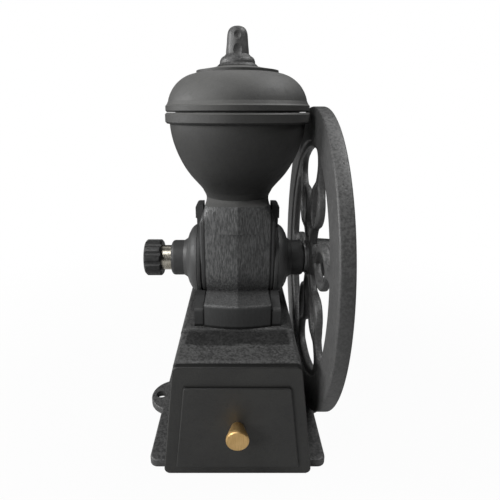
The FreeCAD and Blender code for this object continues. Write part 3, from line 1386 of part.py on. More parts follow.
def lid_finial():
    """Turned bullet-shaped knob on the lid, with two shallow hollows in front."""
    def at(r, z):
        return vec(r, AXLE_Y, LID_Z + lid_top() + z)

    post = FINIAL_BASE_H
    tip = post + FINIAL_POST_H
    end = tip + FINIAL_TIP_H
    waist_r = FINIAL_POST_R + FINIAL_FLARE
    edges = [
        line(at(0, 0), at(FINIAL_BASE_R + FINIAL_FLARE, 0)),
        line(at(FINIAL_BASE_R + FINIAL_FLARE, 0), at(FINIAL_BASE_R - FINIAL_FLARE / 2, FINIAL_FLARE * 1.4)),
        arc(at(FINIAL_BASE_R - FINIAL_FLARE / 2, FINIAL_FLARE * 1.4),
            at((FINIAL_BASE_R + waist_r) / 2 + FINIAL_FLARE / 3, post * 0.72), at(waist_r, post)),
        line(at(waist_r, post), at(FINIAL_POST_R, post + FINIAL_FLARE)),
        spline([at(FINIAL_POST_R, post + FINIAL_FLARE), at(FINIAL_TIP_R, tip),
                at(FINIAL_TIP_R * 0.78, end - FINIAL_TIP_H * 0.22), at(0, end)],
               vec(-0.1, 0, 6), vec(-5, 0, 0)),
        line(at(0, end), at(0, 0)),
    ]
    body = turned(edges, vec(0, AXLE_Y, 0), Z_AXIS)
    hollows = [
        finial_dimple(FINIAL_LOW_HOLLOW_R, FINIAL_HOLLOW_DEPTH, post + FINIAL_POST_H * 0.45,
                      FINIAL_POST_R - 0.3),
        finial_dimple(FINIAL_HIGH_HOLLOW_R, FINIAL_HOLLOW_DEPTH, tip + FINIAL_TIP_H * 0.42,
                      FINIAL_TIP_R - 0.4),
    ]
    stud = cyl_z(FINIAL_SCREW_R, LID_Z + lid_top() - THROUGH, finial_stud_top(), 0, AXLE_Y)
    return cut(body, hollows + [stud])


def finial_stud_top():
    """Height that the stud reaches inside the knob."""
    return LID_Z + lid_top() + FINIAL_BASE_H + FINIAL_POST_H / 2


def finial_stud():
    """Headed screw from inside the lid up into its knob."""
    seat = LID_Z + lid_top() - LID_WALL - LID_BOSS
    stem = cyl_z(FINIAL_SCREW_R, seat, finial_stud_top(), 0, AXLE_Y)
    head = cyl_z(FINIAL_SCREW_R * 2, seat - FINIAL_SCREW_HEAD, seat, 0, AXLE_Y)
    slot = block(-FINIAL_SCREW_R * 2, FINIAL_SCREW_R * 2, AXLE_Y - 0.5, AXLE_Y + 0.5,
                 seat - FINIAL_SCREW_HEAD - THROUGH, seat - FINIAL_SCREW_HEAD * 0.6)
    return fused([stem, head]).cut(slot)


# ------------------------------------------------------------------------- drawer
def drawer_wire(z_low, z_high, half_low, half_high, y):
    """Four-sided outline with sloping sides."""
    return [vec(-half_low, y, z_low), vec(half_low, y, z_low),
            vec(half_high, y, z_high), vec(-half_high, y, z_high)]


def drawer_half(z):
    """Half width of the drawer's front at a height."""
    share = (DRAWER_TOP_Z - z) / (DRAWER_TOP_Z - DRAWER_BOTTOM_Z)
    return DRAWER_TOP_HALF + (DRAWER_FOOT_HALF - DRAWER_TOP_HALF) * share


def drawer_front():
    """Cast front plate with its raised panel."""
    outline = polygon(drawer_wire(DRAWER_BOTTOM_Z, DRAWER_TOP_Z, DRAWER_FOOT_HALF,
                                  DRAWER_TOP_HALF, DRAWER_FRONT_Y))
    plate = Part.Face(outline).extrude(vec(0, DRAWER_PLATE, 0))
    uprights = edges_where(plate, lambda e: e.BoundBox.YLength > DRAWER_PLATE * 0.9)
    plate = plate.makeFillet(DRAWER_CORNER_R, uprights)
    low = drawer_half(PANEL_BOTTOM_Z) - PANEL_INSET
    high = drawer_half(PANEL_TOP_Z) - PANEL_INSET
    rim = edges_where(plate, lambda e: e.BoundBox.YMax < DRAWER_FRONT_Y + 0.01)
    plate = plate.makeFillet(1.0, rim)
    panel = polygon(drawer_wire(PANEL_BOTTOM_Z, PANEL_TOP_Z, low, high, DRAWER_FRONT_Y - PANEL_RAISE))
    raised = Part.Face(panel).extrude(vec(0, PANEL_RAISE + THROUGH, 0))
    corners = edges_where(raised, lambda e: e.BoundBox.YLength > PANEL_RAISE * 0.9)
    raised = raised.makeFillet(PANEL_CORNER_R, corners)
    edges = edges_where(raised, lambda e: e.BoundBox.YMax < DRAWER_FRONT_Y - PANEL_RAISE + 0.01)
    raised = raised.makeChamfer(PANEL_BEVEL, edges)
    body = fused([plate, raised])
    tools = [cyl_y(RIVET_R, DRAWER_BACK_Y - RIVET_BITE, DRAWER_BACK_Y + 1, x, z)
             for x, z in rivet_places()]
    tools.append(cyl_y(DRAWER_SCREW_R, DRAWER_FRONT_Y - 5, DRAWER_BACK_Y + 1, 0, DRAWER_KNOB_Z))
    return cut(body, tools)


def rivet_places():
    """Where the tray is riveted to the front."""
    heights = (RIVET_LOW_Z, BOX_TOP_Z - RIVET_HIGH_DROP)
    return [(side * (drawer_half(z) - RIVET_INSET), z) for z in heights for side in (-1, 1)]


def tray_half(z, inset):
    """Half width of the tray at a height."""
    return house_half(z) - HOUSE_WALL - BOX_CLEAR - inset


def tray_block(z_low, z_high, y_from, y_to, inset):
    """Block that follows the tray's sloping sides."""
    wire = polygon(drawer_wire(z_low, z_high, tray_half(z_low, inset), tray_half(z_high, inset),
                               y_from))
    return Part.Face(wire).extrude(vec(0, y_to - y_from, 0))


def drawer_box():
    """Sheet tray behind the front."""
    low = LEDGE_T + LEDGE_CLEAR
    back = BASE_BACK_Y - HOUSE_WALL - BOX_BACK_CLEAR
    outer = tray_block(low, BOX_TOP_Z, DRAWER_BACK_Y, back, 0)
    inner = tray_block(low + BOX_SHEET, BOX_TOP_Z + 1, DRAWER_BACK_Y + BOX_SHEET,
                       back - BOX_SHEET, BOX_SHEET)
    body = outer.cut(inner)
    tools = [cyl_y(RIVET_R, DRAWER_BACK_Y - 1, DRAWER_BACK_Y + BOX_SHEET + 1, x, z)
             for x, z in rivet_places()]
    tools.append(cyl_y(DRAWER_SCREW_R, DRAWER_BACK_Y - 1, DRAWER_BACK_Y + BOX_SHEET + 1,
                       0, DRAWER_KNOB_Z))
    return cut(body, tools)


def drawer_rivets():
    """Rivets between the front and the tray."""
    solids = []
    for x, z in rivet_places():
        stem = cyl_y(RIVET_R, DRAWER_BACK_Y - RIVET_BITE, DRAWER_BACK_Y + BOX_SHEET, x, z)
        head = Part.makeCone(RIVET_R * 1.8, RIVET_R, 1.4,
                             vec(x, DRAWER_BACK_Y + BOX_SHEET, z), Y_AXIS)
        solids.append(fused([stem, head]))
    return group(solids)


def knob_base_y():
    """Y of the raised panel's face, where the drawer's knob stands."""
    return DRAWER_FRONT_Y - PANEL_RAISE


def drawer_knob():
    """Turned brass knob, wider at its front."""
    def at(y, r):
        return vec(0, knob_base_y() - y, DRAWER_KNOB_Z + r)

    reach = DRAWER_KNOB_LENGTH
    band = reach - DRAWER_KNOB_BAND
    edge = DRAWER_KNOB_EDGE
    edges = [
        line(at(0, 0), at(0, DRAWER_KNOB_ROOT_R)),
        line(at(0, DRAWER_KNOB_ROOT_R), at(band, DRAWER_KNOB_R)),
        line(at(band, DRAWER_KNOB_R), at(reach - edge, DRAWER_KNOB_R)),
        line(at(reach - edge, DRAWER_KNOB_R), at(reach, DRAWER_KNOB_R - edge)),
        line(at(reach, DRAWER_KNOB_R - edge), at(reach, 0)),
        line(at(reach, 0), at(0, 0)),
    ]
    body = turned(edges, vec(0, 0, DRAWER_KNOB_Z), Y_AXIS)
    return body.cut(cyl_y(DRAWER_SCREW_R, knob_base_y() - reach * 0.6, knob_base_y() + 1,
                          0, DRAWER_KNOB_Z))


def drawer_knob_screw():
    """Screw from inside the tray into the knob."""
    inside = DRAWER_BACK_Y + BOX_SHEET
    stem = cyl_y(DRAWER_SCREW_R, knob_base_y() - DRAWER_KNOB_LENGTH * 0.55, inside,
                 0, DRAWER_KNOB_Z)
    head = Part.makeCone(DRAWER_SCREW_R * 2, DRAWER_SCREW_R * 1.4, 2.0,
                         vec(0, inside, DRAWER_KNOB_Z), Y_AXIS)
    return fused([stem, head])


# -------------------------------------------------------------------------- pieces
PIECES = {
    "base_casting": base_casting,
    "stand_bolts": stand_bolts,
    "centre_housing": centre_housing,
    "left_end_cover": left_end_cover,
    "right_end_cover": right_end_cover,
    "left_cover_screws": lambda: cover_screws(-1),
    "right_cover_screws": lambda: cover_screws(1),
    "left_bush": lambda: bush(-LEFT_BUSH_X, -LEFT_BUSH_X + BUSH_T),
    "right_bush": lambda: bush(RIGHT_BUSH_X, RIGHT_BUSH_X + RIGHT_BUSH_T),
    "thrust_spring": thrust_spring,
    "fixed_burr": fixed_burr,
    "fixed_burr_screws": burr_screws,
    "hopper": hopper,
    "hopper_grub_screw": hopper_grub_screw,
    "lid": lid,
    "lid_finial": lid_finial,
    "lid_screw": finial_stud,
    "drawer_front": drawer_front,
    "drawer_box": drawer_box,
    "drawer_rivets": drawer_rivets,
    "drawer_knob": drawer_knob,
    "drawer_knob_screw": drawer_knob_screw,
    "adjuster_knob": adjuster_knob,
    "adjuster_sleeve": adjuster_sleeve,
    "adjuster_screw": adjuster_screw,
    "thrust_ball": thrust_ball,
    "main_shaft": main_shaft,
    "moving_burr": moving_burr,
    "burr_drive_pin": burr_drive_pin,
    "burr_nut": burr_nut,
    "feed_auger": feed_auger,
    "auger_pin": auger_pin,
    "thrust_washer": thrust_washer,
    "flywheel": flywheel,
    "wheel_key": wheel_key,
    "hub_washer": hub_washer,
    "hub_nut": hub_nut,
    "handle_bolt": handle_bolt,
    "handle_nut": handle_nut,
    "handle_grip": handle_grip,
}


def main():
    """Build every piece and write its STEP file."""
    os.makedirs("parts", exist_ok=True)
    for name, build in PIECES.items():
        shape = build()
        shape.exportStep(os.path.join("parts", name + ".step"))
        box = shape.BoundBox
        print("%-20s %2d solid(s) x %.1f..%.1f y %.1f..%.1f z %.1f..%.1f %s" % (
            name, len(shape.Solids), box.XMin, box.XMax, box.YMin, box.YMax,
            box.ZMin, box.ZMax, "" if shape.isValid() else "NOT VALID"))


main()
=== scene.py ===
"""Looks of the hand crank coffee mill.

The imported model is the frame.  This script gives each part its finish, builds the
open-work wheel, the barrel's casting and the neck that carries the hopper with softer
forms than the frame has, and sets the floor, the lamps and the camera.
"""

import json
import logging
import math
from collections.abc import Callable
from dataclasses import dataclass
from enum import Enum

import bmesh
import bpy
from mathutils import Matrix, Vector


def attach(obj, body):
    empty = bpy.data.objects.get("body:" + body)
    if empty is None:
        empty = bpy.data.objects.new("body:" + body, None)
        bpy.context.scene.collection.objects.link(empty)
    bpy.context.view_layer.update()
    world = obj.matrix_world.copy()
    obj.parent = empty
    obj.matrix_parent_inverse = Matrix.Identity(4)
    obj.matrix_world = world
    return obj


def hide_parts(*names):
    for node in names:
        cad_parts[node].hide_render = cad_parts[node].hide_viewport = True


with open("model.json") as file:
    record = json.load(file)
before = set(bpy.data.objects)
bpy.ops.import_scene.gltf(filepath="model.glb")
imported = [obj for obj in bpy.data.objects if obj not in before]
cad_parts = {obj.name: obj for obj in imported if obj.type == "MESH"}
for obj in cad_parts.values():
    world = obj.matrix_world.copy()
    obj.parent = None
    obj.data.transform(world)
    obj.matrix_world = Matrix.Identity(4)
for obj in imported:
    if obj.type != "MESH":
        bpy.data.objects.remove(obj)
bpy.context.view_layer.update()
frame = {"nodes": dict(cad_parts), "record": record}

log = logging.getLogger("coffee_mill")
MM = 0.001                    # a millimetre, in metres
WELD = 0.000002               # vertices closer than this are one
SHARP_EDGE = math.radians(38.0)
AXLE_Y = 18.5 * MM
AXLE_Z = 126.6 * MM
AXLE = Vector((0.0, AXLE_Y, AXLE_Z))
AXLE_WAY = Vector((1.0, 0.0, 0.0))
UP = Vector((0.0, 0.0, 1.0))
WHITE = (1.0, 1.0, 1.0, 1.0)

Outline = list[tuple[float, float]]
Colour = tuple[float, float, float]


class Coarseness(Enum):
    """How rough a casting's skin is: grain size in 1/m and depth in m."""

    SMOOTH = (900.0, 0.00010)
    FINE = (620.0, 0.00022)
    ROUGH = (1000.0, 0.00030)


# ------------------------------------------------------------------ node helpers
def new_group(name: str, inputs: dict[str, float], outputs: dict[str, str]) -> bpy.types.NodeTree:
    """Start a shader node group.

    Args:
        name: the group's name.
        inputs: float inputs and their defaults.
        outputs: output names and their socket types.

    Returns:
        The group, with its input and output nodes in place.
    """
    tree = bpy.data.node_groups.new(name, "ShaderNodeTree")
    for label, value in inputs.items():
        socket = tree.interface.new_socket(label, in_out="INPUT", socket_type="NodeSocketFloat")
        socket.default_value = value
    for label, kind in outputs.items():
        tree.interface.new_socket(label, in_out="OUTPUT", socket_type=kind)
    tree.nodes.new("NodeGroupInput").name = "in"
    tree.nodes.new("NodeGroupOutput").name = "out"
    return tree


def add_math(tree: bpy.types.NodeTree, kind: str, first: object, second: object) -> object:
    """Add a math node.

    Args:
        tree: where the node goes.
        kind: the operation.
        first: a socket or a number.
        second: a socket or a number.

    Returns:
        The node's result socket.
    """
    node = tree.nodes.new("ShaderNodeMath")
    node.operation = kind
    for slot, value in zip(node.inputs, (first, second)):
        if isinstance(value, (int, float)):
            slot.default_value = value
        else:
            tree.links.new(value, slot)
    return node.outputs[0]


def add_noise(tree: bpy.types.NodeTree, vector: object, scale: object, detail: float,
              roughness: float = 0.55) -> object:
    """Add a noise texture and return its value socket."""
    node = tree.nodes.new("ShaderNodeTexNoise")
    tree.links.new(vector, node.inputs["Vector"])
    if isinstance(scale, (int, float)):
        node.inputs["Scale"].default_value = scale
    else:
        tree.links.new(scale, node.inputs["Scale"])
    node.inputs["Detail"].default_value = detail
    node.inputs["Roughness"].default_value = roughness
    return node.outputs["Fac"]


def spread(tree: bpy.types.NodeTree, value: object, low: float, high: float) -> object:
    """Stretch the range low to high of a mask over 0 to 1."""
    node = tree.nodes.new("ShaderNodeMapRange")
    node.interpolation_type = "SMOOTHSTEP"
    tree.links.new(value, node.inputs["Value"])
    node.inputs["From Min"].default_value = low
    node.inputs["From Max"].default_value = high
    return node.outputs["Result"]


SKIN_INPUTS = ("Pits", "Upright", "Fleck")
WEATHER_INPUTS = ("Dust", "Joints", "Halves", "Calm", "Oil", "Sprinkle")
CALM_TONE = 0.4               # tone where the grain is calmed away


@dataclass(frozen=True)
class CastSkin:
    """Sand-cast skin: grain, pits and slow waves.

    Scales of the coarser layers are shares of the grain's, heights are shares of the
    relief, and a pair gives where a mask starts and where it is full.
    """

    grain_height: float = 0.7
    coarse_height: float = 0.6
    coarse_scale: float = 0.33
    cell_scale: float = 0.5
    pit: tuple[float, float] = (0.08, 0.34)
    wave_scale: float = 38.0
    tone: tuple[float, float] = (0.38, 0.62)
    worn: tuple[float, float] = (0.52, 0.72)

    def build_group(self) -> bpy.types.NodeTree:
        """Make the group, which gives a height and two masks.

        Grain is the grain's scale, Pits the depth of the pits, Upright a stretch of the
        marks along Z, and Fleck how much of the tone follows the grain.

        Returns:
            The group.
        """
        tree = new_group("cast_skin", {"Grain": 600.0, "Pits": 0.5, "Upright": 1.0, "Fleck": 0.4},
                         dict.fromkeys(("Height", "Tone", "Worn"), "NodeSocketFloat"))
        given, out = tree.nodes["in"].outputs, tree.nodes["out"].inputs
        stretch = tree.nodes.new("ShaderNodeCombineXYZ")
        stretch.inputs[0].default_value = stretch.inputs[1].default_value = 1.0
        tree.links.new(given["Upright"], stretch.inputs[2])
        drawn = tree.nodes.new("ShaderNodeVectorMath")
        drawn.operation = "MULTIPLY"
        tree.links.new(tree.nodes.new("ShaderNodeTexCoord").outputs["Object"], drawn.inputs[0])
        tree.links.new(stretch.outputs[0], drawn.inputs[1])
        coords = drawn.outputs[0]
        grain = add_noise(tree, coords, given["Grain"], 3.0, 0.6)
        coarse = add_noise(tree, coords,
                           add_math(tree, "MULTIPLY", given["Grain"], self.coarse_scale), 2.0)
        cells = tree.nodes.new("ShaderNodeTexVoronoi")
        cells.feature = "F1"
        tree.links.new(coords, cells.inputs["Vector"])
        tree.links.new(add_math(tree, "MULTIPLY", given["Grain"], self.cell_scale),
                       cells.inputs["Scale"])
        pitted = add_math(tree, "MULTIPLY", spread(tree, cells.outputs["Distance"], *self.pit),
                          given["Pits"])
        relief = add_math(tree, "ADD", add_math(tree, "MULTIPLY", grain, self.grain_height),
                          add_math(tree, "MULTIPLY", coarse, self.coarse_height))
        tree.links.new(add_math(tree, "ADD", relief, pitted), out["Height"])
        slow = add_noise(tree, coords, self.wave_scale, 3.0)
        steady = add_math(tree, "SUBTRACT", 1.0, given["Fleck"])
        tone = add_math(tree, "ADD", add_math(tree, "MULTIPLY", slow, steady),
                        add_math(tree, "MULTIPLY", grain, given["Fleck"]))
        tree.links.new(spread(tree, tone, *self.tone), out["Tone"])
        tree.links.new(spread(tree, coarse, *self.worn), out["Worn"])
        return tree


@dataclass(frozen=True)
class Weather:
    """Where the castings' skin changes tone; places and reaches in millimetres.

    A pair gives where a mask starts and where it is full.  The foot's joint counts up
    from the foot's bottom, and wave_scale is a noise's scale in 1/m.  Most of these masks place
    light and shade that is painted into the colour.
    """

    # The seams' places below also bound the shade painted into them and under the foot.
    joint_x: float = 25.4
    joint_half: float = 1.0
    joint_core: float = 0.4
    foot_bottom: float = 88.4
    foot_joint: tuple[float, float] = (1.0, 2.4)
    foot_face: tuple[float, float] = (106.1, 104.1)
    # Where the painted light on the left half turns to painted shade on the right.
    halves: tuple[float, float] = (-0.3, 0.3)
    # The hub and shelf places below bound the painted shade on the hub and the painted shadow on
    # the shelf.
    hub_reach: tuple[float, float] = (66.0, 15.0)
    hub_x: tuple[float, float] = (33.0, 42.0)
    shelf_edge: tuple[float, float] = (-49.0, -46.0)
    shelf_wave: float = 9.0
    wave_scale: float = 45.0
    shelf_side: tuple[float, float] = (38.0, 36.0)
    shelf_above: tuple[float, float] = (84.5, 85.5)
    shelf_below: tuple[float, float] = (88.2, 87.4)
    calm_shade: float = 0.5
    darkest: float = 0.05

    @staticmethod
    def both(tree: bpy.types.NodeTree, first: object, second: object) -> object:
        """Product of two masks or numbers."""
        return add_math(tree, "MULTIPLY", first, second)

    def less(self, tree: bpy.types.NodeTree, amount: object, mask: object) -> object:
        """One less a mask that is scaled by an amount."""
        return add_math(tree, "SUBTRACT", 1.0, self.both(tree, amount, mask))

    @staticmethod
    def rise(tree: bpy.types.NodeTree, value: object, limits: tuple[float, float]) -> object:
        """Mask that starts at the first limit and is full at the second."""
        return spread(tree, value, limits[0] * MM, limits[1] * MM)

    def clean_of_joints(self, tree: bpy.types.NodeTree, aside: object, z: object) -> object:
        """Mask that is nought where shade is painted into the seams beside the barrel and under
        its foot.
        """
        off_joint = add_math(tree, "SUBTRACT", aside, self.joint_x * MM)
        beside = self.rise(tree, add_math(tree, "ABSOLUTE", off_joint, 0.0),
                           (self.joint_core, self.joint_half))
        start, full = (self.foot_bottom + height for height in self.foot_joint)
        return self.both(tree, beside, self.rise(tree, z, (start, full)))

    def oiled(self, tree: bpy.types.NodeTree, coords: object, place: tuple[object, ...]) -> object:
        """Mask of the shade painted on the hub and of the shadow painted on the shelf's rear
        strip, with its wavy edge.

        Args:
            tree: where the nodes go.
            coords: the object coordinates' socket.
            place: sockets of x, y, z and the distance from the middle plane.

        Returns:
            The mask's socket.
        """
        x, y, z, aside = place
        out_y = add_math(tree, "SUBTRACT", y, AXLE_Y)
        out_z = add_math(tree, "SUBTRACT", z, AXLE_Z)
        squares = add_math(tree, "ADD", self.both(tree, out_y, out_y),
                           self.both(tree, out_z, out_z))
        from_axle = add_math(tree, "SQRT", squares, 0.0)
        hub = self.both(tree, self.rise(tree, from_axle, self.hub_reach),
                        self.rise(tree, x, self.hub_x))
        wave = self.both(tree, add_noise(tree, coords, self.wave_scale, 1.0), self.shelf_wave * MM)
        shelf = self.both(tree, self.rise(tree, add_math(tree, "ADD", y, wave), self.shelf_edge),
                          self.rise(tree, aside, self.shelf_side))
        level = self.both(tree, self.rise(tree, z, self.shelf_above),
                          self.rise(tree, z, self.shelf_below))
        return add_math(tree, "MAXIMUM", hub, self.both(tree, shelf, level))

    def build_group(self) -> bpy.types.NodeTree:
        """Tone factor and liveliness of a casting's skin, from place to place.

        The facing amount paints upward faces lighter and downward faces darker, or the
        reverse when below nought; the joint amount paints shade into the seams beside the
        barrel and a contact shadow along its foot's bottom; the side amount paints the
        castings' left half lighter and their right half darker, as if lit from the left; Calm
        smooths and darkens the foot and the covers; the hub and shelf amount paints shade
        on the hub and a shadow on the shelf before the foot; and Sprinkle keeps the grain
        to what faces up.

        Returns:
            The group.
        """
        tree = new_group("weather", dict.fromkeys(WEATHER_INPUTS, 0.0),
                         {"Factor": "NodeSocketFloat", "Lively": "NodeSocketFloat"})
        given, out = tree.nodes["in"].outputs, tree.nodes["out"].inputs
        coords = tree.nodes.new("ShaderNodeTexCoord").outputs
        facing = tree.nodes.new("ShaderNodeSeparateXYZ")
        tree.links.new(coords["Normal"], facing.inputs[0])
        place = tree.nodes.new("ShaderNodeSeparateXYZ")
        tree.links.new(coords["Object"], place.inputs[0])
        x, y, z = place.outputs
        aside = add_math(tree, "ABSOLUTE", x, 0.0)

        outside = self.rise(tree, aside, (self.joint_x, self.joint_x + self.joint_half))
        calm = add_math(tree, "MAXIMUM", self.rise(tree, z, self.foot_face), outside)
        lively = self.less(tree, given["Calm"], calm)
        # The left half is painted lighter and the right half darker, as if lit from the left.
        side = add_math(tree, "SUBTRACT", 0.5, self.rise(tree, x, self.halves))
        side = self.both(tree, self.both(tree, side, lively), given["Halves"])
        up = add_math(tree, "MAXIMUM", facing.outputs["Z"], 0.0)
        sprinkled = self.less(tree, given["Sprinkle"], self.less(tree, 1.0, up))
        tree.links.new(self.both(tree, lively, sprinkled), out["Lively"])

        # Shade is painted into the seams beside the barrel and as a contact shadow along the
        # foot's bottom.
        clean = self.clean_of_joints(tree, aside, z)
        # Shade is painted on the hub and a shadow on the shelf before the foot.
        oiled = self.oiled(tree, coords["Object"], (x, y, z, aside))
        # Upward faces are painted lighter and downward faces darker, or the reverse, by the facing
        # amount.
        factor = add_math(tree, "ADD", 1.0,
                          self.both(tree, facing.outputs["Z"], given["Dust"]))
        for shade in (self.less(tree, given["Joints"], self.less(tree, 1.0, clean)),
                      add_math(tree, "ADD", 1.0, side),
                      self.less(tree, self.both(tree, given["Calm"], self.calm_shade), calm),
                      self.less(tree, given["Oil"], oiled)):
            factor = self.both(tree, factor, shade)
        tree.links.new(add_math(tree, "MAXIMUM", factor, self.darkest), out["Factor"])
        return tree


@dataclass(frozen=True)
class TurningLines:
    """Fine lines left by a lathe, with a slower cloud in the tone."""

    stretch: tuple[float, float, float] = (1.0, 0.35, 0.06)
    line_share: float = 0.6
    cloud_share: float = 0.4
    cloud_scale: float = 160.0
    tone: tuple[float, float] = (0.35, 0.65)

    def build_group(self) -> bpy.types.NodeTree:
        """Make the group, which gives a height and a mask; Fine is the lines' scale."""
        tree = new_group("turning_lines", {"Fine": 2600.0},
                         dict.fromkeys(("Height", "Tone"), "NodeSocketFloat"))
        given, out = tree.nodes["in"].outputs, tree.nodes["out"].inputs
        coords = tree.nodes.new("ShaderNodeTexCoord").outputs["Object"]
        mapping = tree.nodes.new("ShaderNodeMapping")
        mapping.inputs["Scale"].default_value = self.stretch
        tree.links.new(coords, mapping.inputs["Vector"])
        lines = add_noise(tree, mapping.outputs["Vector"], given["Fine"], 2.0, 0.5)
        cloud = add_noise(tree, coords, self.cloud_scale, 2.0)
        tree.links.new(lines, out["Height"])
        tone = add_math(tree, "ADD", add_math(tree, "MULTIPLY", lines, self.line_share),
                        add_math(tree, "MULTIPLY", cloud, self.cloud_share))
        tree.links.new(spread(tree, tone, *self.tone), out["Tone"])
        return tree


def principled(name: str) -> tuple[bpy.types.Material, bpy.types.Node]:
    """Make a node material and return it with its shader."""
    material = bpy.data.materials.new(name)
    material.use_nodes = True
    return material, material.node_tree.nodes["Principled BSDF"]


def mix_colour(tree: bpy.types.NodeTree, mask: object, dark: Colour, light: Colour) -> object:
    """Blend two colours by a mask and return the colour socket."""
    node = tree.nodes.new("ShaderNodeMix")
    node.data_type = "RGBA"
    node.inputs[6].default_value = (*dark, 1.0)
    node.inputs[7].default_value = (*light, 1.0)
    tree.links.new(mask, node.inputs[0])
    return node.outputs[2]


def rough_range(tree: bpy.types.NodeTree, mask: object, low: float, high: float) -> object:
    """Roughness between two values by a mask."""
    node = tree.nodes.new("ShaderNodeMapRange")
    tree.links.new(mask, node.inputs["Value"])
    node.inputs["To Min"].default_value = low
    node.inputs["To Max"].default_value = high
    return node.outputs["Result"]


def bump(tree: bpy.types.NodeTree, height: object, distance: float, strength: float) -> object:
    """Bump node from a height and return its normal socket."""
    node = tree.nodes.new("ShaderNodeBump")
    node.inputs["Distance"].default_value = distance
    node.inputs["Strength"].default_value = strength
    tree.links.new(height, node.inputs["Height"])
    return node.outputs["Normal"]


# ------------------------------------------------------------------------ finishes
@dataclass(frozen=True)
class CastIron:
    """Blacked casting, whose grain goes from a dark to a lighter tone.

    The skin group takes pits, upright and fleck, and the group of painted light and tone
    takes the amounts from the facing amount to sprinkle, which mostly paint light and
    shade into the colour.
    """

    name: str
    skin: Coarseness
    dark: Colour
    light: Colour
    roughness: tuple[float, float] = (0.46, 0.62)
    pits: float = 0.5
    specular: float = 0.4
    upright: float = 1.0
    fleck: float = 0.4
    # The amounts from here on paint light and shade into the colour, save calm and sprinkle.
    dust: float = 0.0
    joints: float = 0.0
    halves: float = 0.0
    calm: float = 0.0
    oil: float = 0.0
    sprinkle: float = 0.0

    def build(self, skin_group: bpy.types.NodeTree,
              weather: bpy.types.NodeTree) -> bpy.types.Material:
        """Make the material from the shared cast skin and the painted light and tone.

        Args:
            skin_group: the cast skin's node group.
            weather: the group that paints light and shade into the tone from place to place.

        Returns:
            The material.
        """
        material, shader = principled(self.name)
        tree = material.node_tree
        skin = tree.nodes.new("ShaderNodeGroup")
        skin.node_tree = skin_group
        grain, depth = self.skin.value
        skin.inputs["Grain"].default_value = grain
        shade = tree.nodes.new("ShaderNodeGroup")
        shade.node_tree = weather
        for group, labels in ((skin, SKIN_INPUTS), (shade, WEATHER_INPUTS)):
            for label in labels:
                group.inputs[label].default_value = getattr(self, label.lower())
        tone = add_math(tree, "SUBTRACT", skin.outputs["Tone"], CALM_TONE)
        tone = add_math(tree, "MULTIPLY", tone, shade.outputs["Lively"])
        tone = add_math(tree, "ADD", tone, CALM_TONE)
        colour = mix_colour(tree, tone, self.dark, self.light)
        scaled = tree.nodes.new("ShaderNodeVectorMath")
        scaled.operation = "SCALE"
        tree.links.new(colour, scaled.inputs[0])
        tree.links.new(shade.outputs["Factor"], scaled.inputs["Scale"])
        tree.links.new(scaled.outputs[0], shader.inputs["Base Color"])
        tree.links.new(rough_range(tree, skin.outputs["Worn"], *self.roughness),
                       shader.inputs["Roughness"])
        height = add_math(tree, "MULTIPLY", skin.outputs["Height"], shade.outputs["Lively"])
        tree.links.new(bump(tree, height, depth, 1.0), shader.inputs["Normal"])
        shader.inputs["Specular IOR Level"].default_value = self.specular
        return material


@dataclass(frozen=True)
class TurnedMetal:
    """Bare or plated metal with fine turning lines."""

    name: str
    dark: Colour
    light: Colour
    roughness: tuple[float, float] = (0.22, 0.38)
    depth: float = 0.00002
    bump_strength: float = 0.6

    def build(self, lines_group: bpy.types.NodeTree) -> bpy.types.Material:
        """Make the material from the shared turning lines.

        Args:
            lines_group: the turning lines' node group.

        Returns:
            The material.
        """
        material, shader = principled(self.name)
        tree = material.node_tree
        lines = tree.nodes.new("ShaderNodeGroup")
        lines.node_tree = lines_group
        colour = mix_colour(tree, lines.outputs["Tone"], self.dark, self.light)
        tree.links.new(colour, shader.inputs["Base Color"])
        tree.links.new(rough_range(tree, lines.outputs["Tone"], *self.roughness),
                       shader.inputs["Roughness"])
        tree.links.new(bump(tree, lines.outputs["Height"], self.depth, self.bump_strength),
                       shader.inputs["Normal"])
        shader.inputs["Metallic"].default_value = 1.0
        return material


